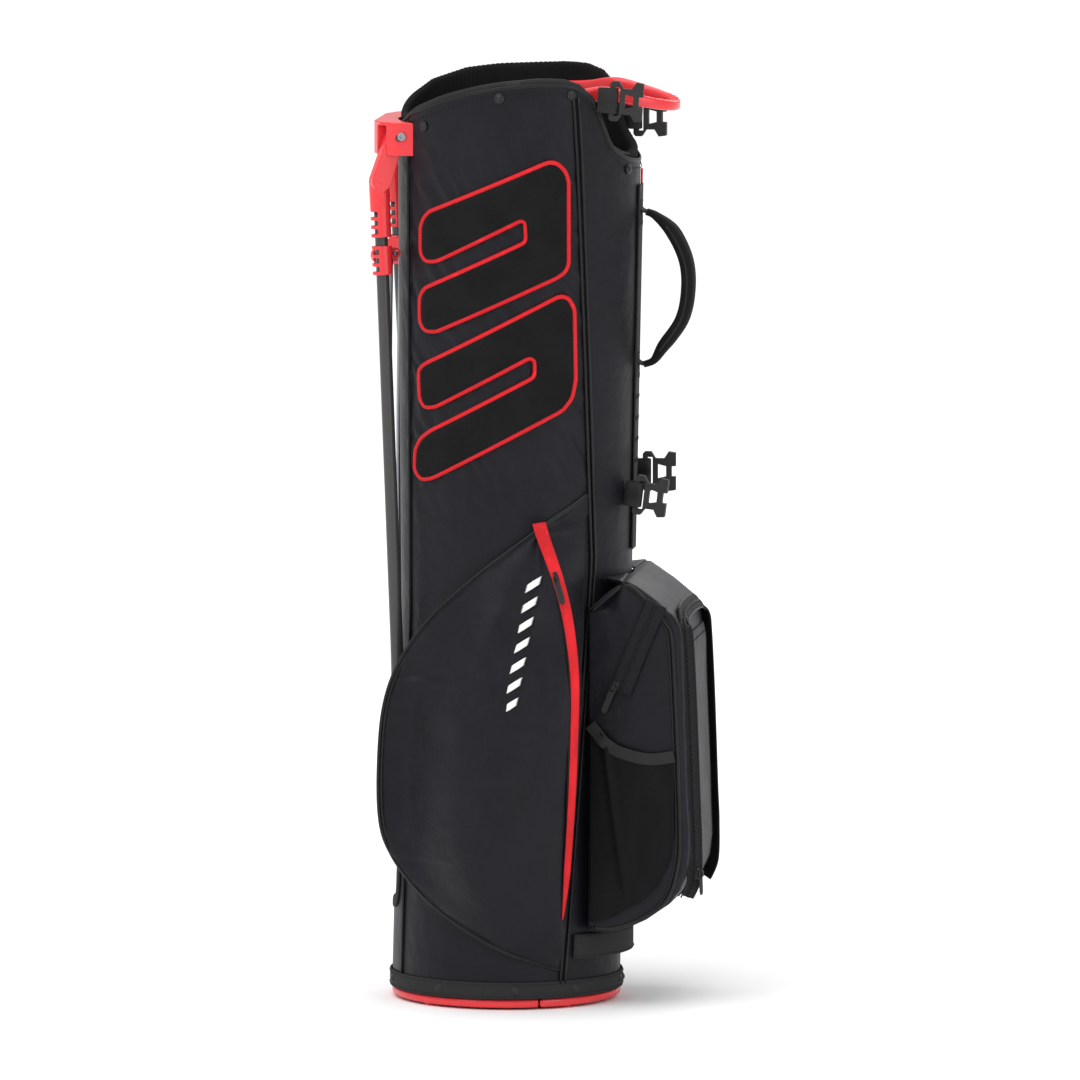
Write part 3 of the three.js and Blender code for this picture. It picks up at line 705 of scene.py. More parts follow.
@dataclass(frozen=True)
class OpenMesh:
    """Knitted mesh whose rows of small holes are painted dark, as painted shade of the pocket's inside seen through
    them, with painted light and shade of soft folds.
    """

    name: str
    colour: Colour
    hole: float = 2.4

    def make(self) -> bpy.types.Material:
        """The material."""
        g = Graph(self.name)
        u, v = g.flat(45)
        cells = g.weave(u, v, self.hole)
        hole = cells.above(0.05, 0.5)
        fold = g.noise(g.place(stretch=(1, 1, 0.3)), 14, 3)
        # Painted light and shade of soft up-and-down folds: the stretched fold noise lightens and darkens the
        # colour; it also varies the roughness below.
        tone = g.tones(fold.above(0.35, 0.7), self.colour, 0.75, 1.35)
        # Painted shade: each hole is darkened towards black to stand for the shaded inside seen through the mesh.
        tone = g.mix(hole * 0.75, tone, scaled(self.colour, 0.16))
        return g.finish(
            Base_Color=tone,
            Roughness=fold * 0.15 + 0.62,
            Normal=g.bump(1.0 - hole, 0.35, 0.7),
            Specular_IOR_Level=0.15,
        )


@dataclass(frozen=True)
class Moulded:
    """Injection moulded plastic or rubber with a spark-eroded grain."""

    name: str
    colour: Colour
    rough: float = 0.4
    grain: float = 0.5
    relief: float = 0.03
    gloss: float = 0.3
    coat: float = 0.0

    def make(self) -> bpy.types.Material:
        """The material."""
        g = Graph(self.name)
        where = g.place()
        fine = g.noise(where, self.grain, 3)
        broad = g.noise(where, 22, 3)
        scuff = g.noise(g.place(stretch=(0.2, 1, 1)), 2.6, 5)
        tone = g.tones(broad.above(0.35, 0.7), self.colour, 0.93, 1.05)
        tone = g.mix(scuff.above(0.66, 0.8) * 0.18, tone, scaled(self.colour, 1.3))
        rough = fine * 0.1 + broad * 0.08 + scuff.above(0.6, 0.8) * 0.12 + (self.rough - 0.09)
        return g.finish(
            Base_Color=tone,
            Roughness=rough,
            Normal=g.bump(fine, self.relief, 0.6),
            Specular_IOR_Level=self.gloss,
            Coat_Weight=self.coat,
            Coat_Roughness=0.3,
        )


@dataclass(frozen=True)
class CarbonTube:
    """Twill carbon laminate under a satin clear coat."""

    name: str
    colour: Colour
    tow: float = 2.6

    def make(self) -> bpy.types.Material:
        """The material."""
        g = Graph(self.name)
        u, v = g.flat(45)
        check = g.weave(u, v, self.tow)
        fibre = g.noise(g.place(stretch=(1, 1, 0.1)), 0.7, 3)
        tone = g.tones(check.above(-0.2, 0.2), self.colour, 0.6, 1.6)
        tone = g.mix(fibre * 0.4, tone, scaled(self.colour, 0.5))
        return g.finish(
            Base_Color=tone,
            Metallic=0.25,
            Roughness=fibre * 0.15 + 0.28,
            Normal=g.bump(check, 0.03, 0.5),
            Coat_Weight=0.5,
            Coat_Roughness=0.22,
        )


@dataclass(frozen=True)
class BareMetal:
    """Drawn or cast metal with fine lines along it."""

    name: str
    colour: Colour
    rough: float = 0.3

    def make(self) -> bpy.types.Material:
        """The material."""
        g = Graph(self.name)
        lines = g.noise(g.place(stretch=(1, 1, 0.05)), 0.4, 3)
        stain = g.noise(g.place(), 12, 4)
        tone = g.mix(stain.above(0.4, 0.75), self.colour, scaled(self.colour, 0.8))
        return g.finish(
            Base_Color=tone,
            Metallic=0.95,
            Roughness=lines * 0.18 + stain * 0.1 + (self.rough - 0.14),
            Normal=g.bump(lines, 0.02, 0.5),
        )


@dataclass(frozen=True)
class Floor:
    """Matt painted studio floor."""

    name: str
    colour: Colour

    def make(self) -> bpy.types.Material:
        """The material."""
        g = Graph(self.name)
        cloud = g.noise(g.place(1.0), 0.7, 3)
        tone = g.mix(cloud.above(0.3, 0.7), scaled(self.colour, 0.985), self.colour)
        return g.finish(Base_Color=tone, Roughness=cloud * 0.1 + 0.7, Specular_IOR_Level=0.1)


CHARCOAL = shade(18, 18, 25)
SIGNAL_RED = shade(205, 28, 36)


class Finish(Enum):
    """Every finish of the bag."""

    NYLON = CoatedCloth("coated_nylon", CHARCOAL)
    SPINE = CoatedCloth("spine_nylon", scaled(CHARCOAL, 0.9), rough=0.5, thread=1.3, relief=0.09)
    PANEL = CoatedCloth("laminated_panel", shade(17, 17, 20), rough=0.5, relief=0.03, gloss=0.12)
    PAD = PadCloth("pad_knit", shade(20, 20, 21))
    VELVET = PadCloth("lining_velour", shade(23, 23, 24), grain=0.7, rough=0.93)
    WEBBING = Webbing("webbing", shade(18, 18, 21))
    TAPE = Webbing("zip_tape", shade(21, 21, 24), rib=0.9, pick=0.8, rough=0.6)
    MESH = OpenMesh("pocket_mesh", shade(14, 14, 16))
    PIPING = Moulded("piping", shade(15, 15, 17), rough=0.45, grain=1.0)
    THREAD = Webbing("thread", shade(34, 34, 38), rib=0.5, pick=0.4)
    WHITE_THREAD = Webbing("white_thread", shade(226, 226, 224), rib=0.5, pick=0.4, rough=0.5)
    RED_CORD = Webbing("red_cord", SIGNAL_RED, rib=1.4, pick=1.2, rough=0.5)
    RED_TAPE = CoatedCloth("red_tape", SIGNAL_RED, rough=0.5, thread=1.2, relief=0.06)
    RED_PLASTIC = Moulded("red_plastic", SIGNAL_RED, rough=0.4, relief=0.02, coat=0.1)
    BLACK_PLASTIC = Moulded("black_plastic", shade(18, 18, 20), rough=0.42)
    RUBBER = Moulded("rubber", shade(16, 16, 17), rough=0.74, grain=0.8, relief=0.06)
    CARBON = CarbonTube("carbon", shade(46, 46, 48))
    STEEL = BareMetal("steel", shade(196, 198, 202))
    ZIP_METAL = BareMetal("zip_metal", shade(70, 70, 74), rough=0.34)
    ZIP_TEETH = Moulded("zip_teeth", shade(20, 20, 23), rough=0.3)
    FLOOR = Floor("studio_floor", (0.93, 0.93, 0.935, 1.0))

    @property
    def material(self) -> bpy.types.Material:
        """The material, made at its first use."""
        return bpy.data.materials.get(self.value.name) or self.value.make()


# ------------------------------------------------------------------------------------------------ the tube


@dataclass
class Tube:
    """The bag's oval tube: where a point on its wall is."""

    centre: Rows = ((22, 0.5), (370, 10), (800, 13))
    half_length: Rows = ((22, 106.5), (370, 107.5), (800, 113))
    half_width: float = 100.0
    side_seam: Rows = ((10, 54), (420, 42), (870, 56))
    leg_seam: float = 148.0
    mouth: Rows = (
        (-101, 817), (-81, 836), (-51, 850), (-21, 859), (8, 864.5), (46, 868), (68, 867), (80, 863), (90, 856),
        (95, 846), (102, 823), (106, 810), (111, 802), (119, 795), (128, 790),
    )

    def at(self, degrees: float, z: float, proud: float = 0.0) -> Vector:
        """Point of the wall.

        Args:
            degrees: Direction from +X, positive towards the near side.
            z: Height.
            proud: How far outside the wall.

        Returns:
            The point.
        """
        turn = math.radians(degrees)
        long = read(self.half_length, z) + proud
        wide = self.half_width + proud
        return Vector((read(self.centre, z) + long * math.cos(turn), -wide * math.sin(turn), z))

    def side(self, x: float, z: float, proud: float = 0.0) -> Vector:
        """Point of the near wall at an x."""
        long = read(self.half_length, z) + proud
        share = max(-1.0, min(1.0, (x - read(self.centre, z)) / long))
        return Vector((x, -(self.half_width + proud) * math.sqrt(1 - share * share), z))

    def out(self, point: Vector) -> Vector:
        """Outward direction of the wall near a point."""
        long = read(self.half_length, point.z)
        across = point.x - read(self.centre, point.z)
        return Vector((across / long**2, point.y / self.half_width**2, 0)).normalized()

    def top(self, degrees: float) -> float:
        """Height of the fabric's top edge in a direction."""
        return read(self.mouth, self.at(degrees, 820).x)

    def cleared(self, point: Vector, proud: float) -> Vector:
        """A near side point moved out if it lies inside the wall."""
        floor = self.side(point.x, point.z, proud)
        long = read(self.half_length, point.z) + proud
        inside = abs(point.x - read(self.centre, point.z)) < long and point.y > floor.y
        return Vector((point.x, floor.y, point.z)) if inside else point


TUBE = Tube()


@dataclass
class TubePanels:
    """The outer fabric: four panels, piped seams, hem band, rivets and stitching."""

    foot: float = 10.4
    rows: int = 250
    cloth: float = 1.3
    wrinkle: float = 1.35
    far_share: float = 0.25
    pucker_zone: tuple[float, float] = (455, 825)
    row_power: float = 0.96
    pucker_pitch: float = 8.5
    hem: tuple[float, float] = (10.6, 26.5)
    rod_slot: Spot = (40.0, 89.0, 228.0)
    slot_power: int = 8
    top_rivets: Rows = ((-67, 825), (8.3, 854.6), (74.4, 857), (120.5, 784))
    hem_rivets: tuple[float, ...] = (160, 118, 78, 46, 5)

    def relief(self, degrees: float, z: float) -> float:
        """How far the fabric stands out of the tube at a place."""
        spot = TUBE.at(degrees, z)
        lift = 0.35 + 0.5 * (0.5 + 0.5 * waver(spot.x, spot.y, z, 75))
        drape = math.sin(degrees * 0.11 + 2.2 * waver(0, degrees, z * 0.25, 60))
        lift += 0.35 * drape * smooth((850 - z) / 80) * smooth(z / 60)
        low, high = self.pucker_zone
        if spot.x < 95 and abs(spot.y) > 40 and low < z < high:
            near = smooth((z - low) / 40) * smooth((high - z) / 40)
            near *= smooth((96 - spot.x) / 20) * smooth((spot.x + 98) / 25)
            phase = (spot.x * 0.86 + z * 0.5) / self.pucker_pitch + 1.6 * waver(spot.x, 0, z, 38)
            strength = 0.45 + 0.55 * waver(spot.x, 5, z, 26)
            depth = self.wrinkle if spot.y < 0 else self.far_share * self.wrinkle
            lift += depth * near * strength * math.sin(phase * TAU * 0.5)
        return max(0.05, lift)

    def panel(self, name: str, first: float, last: float, columns: int) -> None:
        """One panel between two directions, with its CAD node's name."""

        def place(u: float, v: float) -> Vector:
            """Point of the panel, from its foot to its top edge."""
            share = v**self.row_power
            guess = self.foot + (read(TUBE.mouth, 0) - self.foot) * share
            seam = read(TUBE.side_seam, guess)
            start = math.copysign(seam, first) if abs(first) < 90 else first
            stop = math.copysign(seam, last) if abs(last) < 90 else last
            degrees = start + (stop - start) * u
            z = self.foot + (TUBE.top(degrees) - self.foot) * share
            return TUBE.at(degrees, z, self.relief(degrees, z))

        bm = grid(columns, self.rows, place, flip=True)
        if name == "leg_side":
            inside = [face for face in bm.faces if self.in_slot(face.calc_center_median())]
            bmesh.ops.delete(bm, geom=inside, context="FACES")
        spine = name == "spine"
        piece = Piece(name + "_fabric", "fabric", Body.BAG if spine else None, (name + "_panel",), self.cloth)
        obj = piece.make(bm, Finish.SPINE if spine else Finish.NYLON)
        if not spine:
            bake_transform(obj)

    def in_slot(self, point: Vector) -> bool:
        """Whether a point of the leg side lies in the opening that the two rods pass through."""
        wide, low, high = self.rod_slot
        across, rise = point.y / wide, (point.z - (low + high) / 2) / ((high - low) / 2)
        return across**self.slot_power + rise**self.slot_power < 1

    def slot_binding(self) -> None:
        """Bound edge of the rod opening."""
        wide, low, high = self.rod_slot
        knots = []
        for k in range(96):
            angle = TAU * k / 96
            y = wide * bowed(math.cos(angle), 2 / self.slot_power)
            z = (low + high) / 2 + (high - low) / 2 * bowed(math.sin(angle), 2 / self.slot_power)
            knots.append(TUBE.at(180 - math.degrees(math.asin(y / TUBE.half_width)), z, 1.2))
        path = even(knots + [knots[0]], 160)
        bound = sweep(path, flat_strap(4.4, 1.3, 0.5), TUBE.out, 12)
        self.joined_to_sole("rod_slot_binding", bound, Finish.WEBBING, "webbing")

    def joined_to_sole(self, name: str, bm: bmesh.types.BMesh, finish: Finish, slot: str) -> None:
        """A trim piece made without a body, with its transform baked into the mesh."""
        obj = Piece(name, slot, None).make(bm, finish)
        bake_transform(obj)

    def seams(self) -> None:
        """Double piping down each side seam, single piping down each leg seam."""
        for side in Side:
            cords = []
            for shift in (-1.3, 1.3):
                heights = [24 + (TUBE.top(50) - 28) * k / 60 for k in range(61)]
                line = [TUBE.at(read(TUBE.side_seam, z) + shift, z, 2.0) for z in heights]
                cords.append(sweep([side.turn(p) for p in line], round_cord(1.5), TUBE.out, 8))
            self.joined_to_sole(side.word + "_seam_piping", merged(*cords), Finish.PIPING, "fabric")
            heights = [24 + (TUBE.top(148) - 30) * k / 50 for k in range(51)]
            line = [side.turn(TUBE.at(TUBE.leg_seam, z, 1.6)) for z in heights]
            cord = sweep(line, round_cord(1.4), TUBE.out, 8)
            self.joined_to_sole(side.word + "_leg_piping", cord, Finish.PIPING, "fabric")

    def ring(self, height: Callable[[float], float], proud: float, count: int = 120) -> list[Vector]:
        """Closed path round the tube at a height for each direction."""
        path = [TUBE.at(360 * k / count, height(360 * k / count), proud) for k in range(count)]
        return path + [path[0]]

    def edge_height(self, degrees: float) -> float:
        """Top edge for a direction of 0 to 360 degrees."""
        return TUBE.top(degrees if degrees <= 180 else 360 - degrees)

    def build(self) -> None:
        """Makes and dresses every piece of the outer fabric."""
        self.panel("near_side", 50, 148, 100)
        self.panel("far_side", -148, -50, 100)
        self.panel("leg_side", 148, 212, 60)
        self.panel("spine", -50, 50, 90)
        self.seams()
        self.slot_binding()
        low, high = self.hem
        path = self.ring(lambda d: (low + high) / 2, 2.3, 144)
        band = sweep(path, flat_strap((high - low) / 2, 0.8, 0.3), TUBE.out, 12)
        self.joined_to_sole("hem_band", band, Finish.WEBBING, "webbing")
        threads = [stitches(self.ring(lambda d: z, 3.25, 200), TUBE.out) for z in (low + 2.6, high - 2.2)]
        self.joined_to_sole("hem_stitching", merged(*threads), Finish.THREAD, "webbing")
        spots = [side.turn(TUBE.at(degrees, 18.3, 3.0)) for side in Side for degrees in self.hem_rivets]
        spots = [(centre, TUBE.out(centre)) for centre in spots]
        self.joined_to_sole("hem_rivets", rivets(spots, 4.3, 2.0), Finish.ZIP_METAL, "black_plastic")
        spots = [side.turn(TUBE.side(x, z, 1.6)) for side in Side for x, z in self.top_rivets]
        spots = [(centre, TUBE.out(centre)) for centre in spots]
        Piece("mouth_rivets", "black_plastic").make(rivets(spots, 4.9, 2.4), Finish.ZIP_METAL)
        path = self.ring(lambda d: self.edge_height(d) - 1.2, 0.2, 160)
        binding = sweep(path, flat_strap(1.9, 1.0, 0.6), TUBE.out, 10)
        Piece("mouth_binding", "fabric").make(binding, Finish.PIPING)
        row = stitches(self.ring(lambda d: self.edge_height(d) - 8.5, 1.7, 220), TUBE.out)
        Piece("mouth_stitching", "fabric").make(row, Finish.THREAD)


@dataclass
class MouthInside:
    """Ribbed velour lining of the club mouth and its padded dividers."""

    ribs: int = 148
    rib_height: float = 0.9
    top: Rows = (
        (-101, 843), (-81, 858), (-51, 867), (-21, 870), (8, 871), (46, 872.5), (68, 872), (85, 867), (95, 858),
        (102, 841), (106, 827), (111, 816), (119, 808), (128, 803),
    )
    depth: float = 74.0
    floor: float = 692.0
    wall_half: float = 3.4
    long_top: Rows = ((-86, 812), (30, 846), (74, 836), (96, 790), (103, 760))

    def lining(self) -> None:
        """The lining, from outside the ring, over its top and down the inside."""
        columns = self.ribs * 6

        def place(u: float, v: float) -> Vector:
            """Point of the lining."""
            degrees = 360 * u
            spot = TUBE.at(degrees, 820)
            edge = read(TUBE.mouth, spot.x)
            far = smooth((spot.y + 75) / 110)
            lip = edge + 0.5 + (read(self.top, spot.x) - edge - 0.5) * far
            if v < 0.12:
                proud, z = -2.2, lip - 12 + 8 * v / 0.12
            elif v < 0.4:
                turn = math.pi * (v - 0.12) / 0.28
                proud, z = -5.6 + 3.4 * math.cos(turn), lip - 4 + 4 * math.sin(turn)
            else:
                proud, z = -9.0, lip - 4 - (self.depth - 4) * (v - 0.4) / 0.6
            rib = self.rib_height * (0.5 - 0.5 * math.cos(u * self.ribs * TAU)) * smooth((v - 0.1) / 0.15)
            lift = Vector((0, 0, rib * 0.6 if v < 0.4 else 0))
            return TUBE.at(degrees, z, proud - rib if v >= 0.26 else proud) + lift

        bm = grid(columns, 22, place, flip=True, weld=True)
        piece = Piece("ribbed_lining", "padding", replaces=("cuff_lining",))
        piece.make(bm, Finish.VELVET)

    def dividers(self) -> None:
        """Four-way divider: rounded padded walls from side to side and end to end."""

        def wall(start: Spot, stop: Spot, tops: Rows, aside: Vector) -> bmesh.types.BMesh:
            """A wall between two spots, thick along `aside`."""

            def place(u: float, v: float) -> Vector:
                """Point of the wall."""
                spot = Vector(start).lerp(Vector(stop), v)
                half = (read(tops, spot.x) - self.floor) / 2
                angle = u * TAU
                rise = self.floor + half + half * bowed(math.sin(angle), 0.3)
                return spot + aside * self.wall_half * bowed(math.cos(angle), 0.25) + UP * rise

            return capped(grid(28, 40, place, weld=True))

        long_wall = wall((-86, 0, 0), (103, 0, 0), self.long_top, Vector((0, 1, 0)))
        cross_wall = wall((14, -88, 0), (14, 88, 0), ((14, 840),), TO_SPINE)
        piece = Piece("padded_divider", "padding", replaces=("club_divider",))
        piece.make(merged(long_wall, cross_wall), Finish.VELVET)

    def build(self) -> None:
        """Makes the lining and the dividers."""
        self.lining()
        self.dividers()


@dataclass
class HipPads:
    """Two hooked foam pads on the near side, each edged with a red cord."""

    upper: Rows = (
        (-66, 739), (-60, 746), (54, 795), (61, 794), (68, 787), (71, 778), (71, 700), (68, 693),
        (61, 688), (-54, 635), (-65, 635), (-70, 643), (-70, 665), (-65, 674), (32, 720), (34, 724),
        (33, 740), (29, 742), (-53, 701), (-64, 700), (-69, 707), (-69, 731),
    )
    lower: Rows = (
        (-71, 597), (-65, 603), (64, 670), (71, 668), (76, 658), (77, 592), (74, 575), (66, 564),
        (-57, 498), (-69, 495), (-76, 503), (-75, 522), (-69, 533), (-59, 541), (40, 594), (42, 598),
        (42, 611), (37, 614), (-54, 565), (-65, 563), (-70, 570), (-71, 589),
    )
    thick: float = 6.2
    round_over: float = 4.6
    cord: float = 2.6
    steps: int = 6

    def edge(self, corners: Rows) -> list[Vector]:
        """Closed outline of a pad in x and z, its corners rounded."""
        flat = [Vector((x, 0, z)) for x, z in corners]
        cut = []
        for i, here in enumerate(flat):
            before, after = flat[i - 1], flat[(i + 1) % len(flat)]
            back = min(4.0, (here - before).length * 0.35)
            fore = min(4.0, (after - here).length * 0.35)
            start = here + (before - here).normalized() * back
            stop = here + (after - here).normalized() * fore
            for k in range(4):
                t = k / 3
                cut.append((1 - t) ** 2 * start + 2 * t * (1 - t) * here + t * t * stop)
        return even(cut + [cut[0]], 260)[:-1]

    def pad(self, name: str, corners: Rows) -> None:
        """One pad and its cord."""
        outline = self.edge(corners)
        bm = bmesh.new()
        face = bm.faces.new([bm.verts.new(point) for point in outline])
        face.normal_update()
        if face.normal.y > 0:
            bmesh.ops.reverse_faces(bm, faces=[face])
        level, last = 0.0, 0.0
        for k in range(1, self.steps + 1):
            turn = math.pi / 2 * k / self.steps
            inset, rise = self.round_over * (1 - math.cos(turn)), self.thick * math.sin(turn)
            step = {"thickness": inset - last, "depth": rise - level}
            bmesh.ops.inset_individual(bm, faces=[face], use_even_offset=True, **step)
            level, last = rise, inset
        cuts = [(Vector((x, 0, 0)), TO_SPINE) for x in range(-72, 78, 5)]
        cuts += [(Vector((0, 0, z)), UP) for z in range(500, 796, 9)]
        for spot, way in cuts:
            geom = bm.faces[:] + bm.edges[:] + bm.verts[:]
            bmesh.ops.bisect_plane(bm, geom=geom, plane_co=spot, plane_no=way, dist=0.01)
        uv = bm.loops.layers.uv.new("UVMap")
        for one in bm.faces:
            for loop in one.loops:
                loop[uv].uv = (loop.vert.co.x, loop.vert.co.z)
        for vert in bm.verts:
            x, rise, z = vert.co.x, -vert.co.y, vert.co.z
            swell = 0.35 * waver(x, 0, z, 30) * smooth((rise - 4) / 2)
            vert.co = TUBE.side(x, z, 0.9 + rise + swell)
        piece = Piece(name + "_foam", "padding", replaces=(name,))
        piece.make(bm, Finish.PAD)
        ring = [TUBE.side(point.x, point.z, 2.8) for point in outline]
        bm = sweep(ring + [ring[0]], round_cord(self.cord), TUBE.out, 12)
        Piece(name + "_cord", "red_plastic").make(bm, Finish.RED_CORD)

    def build(self) -> None:
        """Makes both pads."""
        self.pad("hip_pad_upper", self.upper)
        self.pad("hip_pad_lower", self.lower)


@dataclass
class ApparelPocket:
    """Tall bulging pocket on one side, with piped outline and a long zip near its front edge."""

    side: Side
    rows: Rows = (
        (37, 60, 84, 62, 2), (58, 8, 105, 16, 9), (91, -46, 99, -36, 20), (119, -75, 99, -50, 32),
        (148, -94, 103, -56, 41), (176, -103, 105, -58, 46), (223, -104.6, 106, -58, 48), (282, -100, 106, -57, 45),
        (325, -86, 103, -54, 39), (368, -57, 100, -44, 31), (411, -10, 107, 0, 21), (449, 40, 100, 46, 12),
        (464, 60, 91, 62, 2), (474, 75, 0, 76, 1.6), (484, 87.5, 0, 88, 1),
    )
    zip_ends: tuple[float, float] = (89, 452)
    zip_points: tuple[Spot, ...] = (
        (66.5, -101, 82), (72.4, -112, 125), (78.6, -121, 200), (81.6, -126, 260), (82.5, -127.5, 315),
        (77, -126, 365), (67, -121, 405), (51, -112, 446), (46, -107, 460),
    )
    flap_width: Rows = ((0, 0.6), (0.12, 3.2), (0.55, 4.0), (0.85, 5.4), (1, 6.6))
    cords: Rows = ((-0.4, 1.7), (2.6, 1.4))
    around: int = 96
    rows_up: int = 170
    cloth: float = 1.2
    dashes: int = 7
    strands: int = 9
    low: float = 37.5
    high: float = 483.5

    def ridge(self, z: float) -> tuple[float, float]:
        """x and y of the zip line at a height."""
        line = [(p[2], p[0], p[1]) for p in self.zip_points]
        return read(line, z), read(line, z, 2)

    def section(self, z: float) -> list[Vector]:
        """Control points of the pocket's outside at a height, from its back edge to its front edge."""
        left, left_y, foot, bulge = (read(self.rows, z, item) for item in (1, 2, 3, 4))
        held = min(446.0, max(self.zip_ends[0], z))
        ridge_x, ridge_y = self.ridge(held)
        seam = TUBE.at(read(TUBE.side_seam, z) - 1, z).x
        fade = smooth((z - 37) / 50) * smooth((464 - z) / 20)
        wall = lambda x, lift: Vector((x, TUBE.side(x, z, 0.9).y - lift, z))
        ridge_x = min(seam - 2.5, max(left + min(14.0, 0.5 * (seam - left)), ridge_x))
        lift = max(2.0, TUBE.side(ridge_x, z, 0.9).y - ridge_y) * fade
        edge = min(85.0, seam - 3) if z < 464 else seam - 1
        back = wall(left, 1.0)
        back.y = min(-left_y, back.y)
        return [
            wall(foot, 0.4),
            back,
            wall(left + (ridge_x - left) * 0.16, 0.72 * bulge + (4 if left < -90 else 0)),
            wall(left + (ridge_x - left) * 0.45, bulge), wall(left + (ridge_x - left) * 0.74, 0.94 * bulge),
            wall(ridge_x, max(1.0, lift)),
            wall(max(ridge_x + 1, edge), 0.4 + 0.18 * lift),
        ]

    def bag_face(self) -> bpy.types.Object:
        """The pocket's fabric."""
        layers = Layers(self.section, self.around)

        def place(u: float, v: float) -> Vector:
            """Point of the fabric."""
            z = self.low + (self.high - self.low) * v
            point = layers.at(u, z)
            free = smooth(u / 0.1) * smooth((1 - u) / 0.08) * smooth((z - 45) / 40) * smooth((455 - z) / 40)
            soft = 2.4 * waver(point.x, 3, z, 60) + 0.9 * waver(point.x, 9, z, 22)
            pull = 0.9 * math.sin((point.x * 0.5 + z) / 23 + 2 * waver(point.x, 7, z, 70))
            pull *= smooth((point.x - 20) / 60)
            point = point + Vector((0, -(soft + pull) * free, 0))
            return self.side.turn(TUBE.cleared(point, 1.7))

        bm = grid(self.around, self.rows_up, place, flip=self.side is Side.FAR)
        name = self.side.word + "_apparel_pocket"
        return Piece(name + "_cloth", "fabric", replaces=(name,), thick=self.cloth).make(bm, Finish.NYLON)

    def edge_line(self, proud: float, shift: float) -> list[Vector]:
        """Path of the pocket's back edge, from its foot to its head."""
        knots = []
        for z, left, left_y, _, _ in self.rows:
            spot = TUBE.side(max(-95.0, left + shift), z, proud)
            y = min(spot.y, -left_y + 1 - proud) if left > -95 else -left_y - proud * 0.3
            spot = Vector((left + shift, y, z))
            knots.append(self.side.turn(TUBE.cleared(spot, proud)))
        return spline(knots, 150)

    def trim(self) -> None:
        """Double piping, zip with its flap, and stitching."""
        word = self.side.word
        cords = [sweep(self.edge_line(1.4, shift), round_cord(r), TUBE.out, 8) for shift, r in self.cords]
        Piece(word + "_apparel_piping", "fabric").make(merged(*cords), Finish.PIPING)
        outward = self.side.turn(Vector((0.42, -0.9, 0.0)))
        line = [self.side.turn(p) for p in spline(self.zip_points, 120)]
        tape = [p + outward * 0.6 for p in line]
        section = flat_strap(lambda t: 2.6 + 3.2 * smooth(t * 2), 0.7, 0.4)
        bm = sweep(tape[3:-2], section, outward, 10)
        Piece(word + "_apparel_tape", "fabric").make(bm, Finish.TAPE)
        flap = [p + outward * 1.7 for p in line]
        wide = lambda t: read(self.flap_width, t)
        red = self.side is Side.NEAR
        bm = sweep(flap[2:], flat_strap(wide, 0.9, 0.45), outward, 12)
        piece = Piece(word + "_apparel_flap", "red_plastic" if red else "fabric")
        piece.make(bm, Finish.RED_TAPE if red else Finish.PIPING)
        across = self.side.turn(Vector((0.9, 0.42, 0))).normalized()
        rows = []
        for sign in (-1, 1):
            row = [
                p + across * sign * (wide((k + 6) / 120) - 1.0) + outward for k, p in enumerate(flap[6:])
            ]
            rows.append(stitches(row, lambda _: outward, 2.2, 3.4, 0.3))
        thread = Finish.RED_CORD if red else Finish.THREAD
        Piece(word + "_apparel_stitching", "fabric").make(merged(*rows), thread)

    def motif(self) -> None:
        """Embroidered column of slanted dashes on the near pocket."""
        bm = bmesh.new()
        for k in range(self.dashes):
            z = 290 + 18.5 * k
            x = 13 + 3.1 * k
            for strand in range(self.strands):
                shift = (strand - 4) * 0.85
                spot = self.on_face(x + 7 + shift * 0.25, z + shift)
                ahead = self.on_face(x + 15 + shift * 0.25, z + shift + 5)
                out = Vector((0.05, -1, 0.08))
                matrix = settled(spot.lerp(ahead, 0.5) + out * 0.9, out, ahead - spot)
                matrix = matrix @ Matrix.Diagonal((9.0, 0.55, 0.55, 1))
                bmesh.ops.create_uvsphere(bm, u_segments=8, v_segments=6, radius=1, matrix=matrix)
        Piece("embroidered_dashes", "fabric").make(bm, Finish.WHITE_THREAD)

    def on_face(self, x: float, z: float) -> Vector:
        """Point of the pocket's outer face at x and z."""
        curve = spline(self.section(z), self.around)
        for a, b in zip(curve[8:], curve[9:]):
            if a.x <= x <= b.x:
                return a.lerp(b, (x - a.x) / (b.x - a.x))
        return curve[60]

    def build(self) -> None:
        """Makes the pocket."""
        self.bag_face()
        self.trim()
        if self.side is Side.NEAR:
            self.motif()


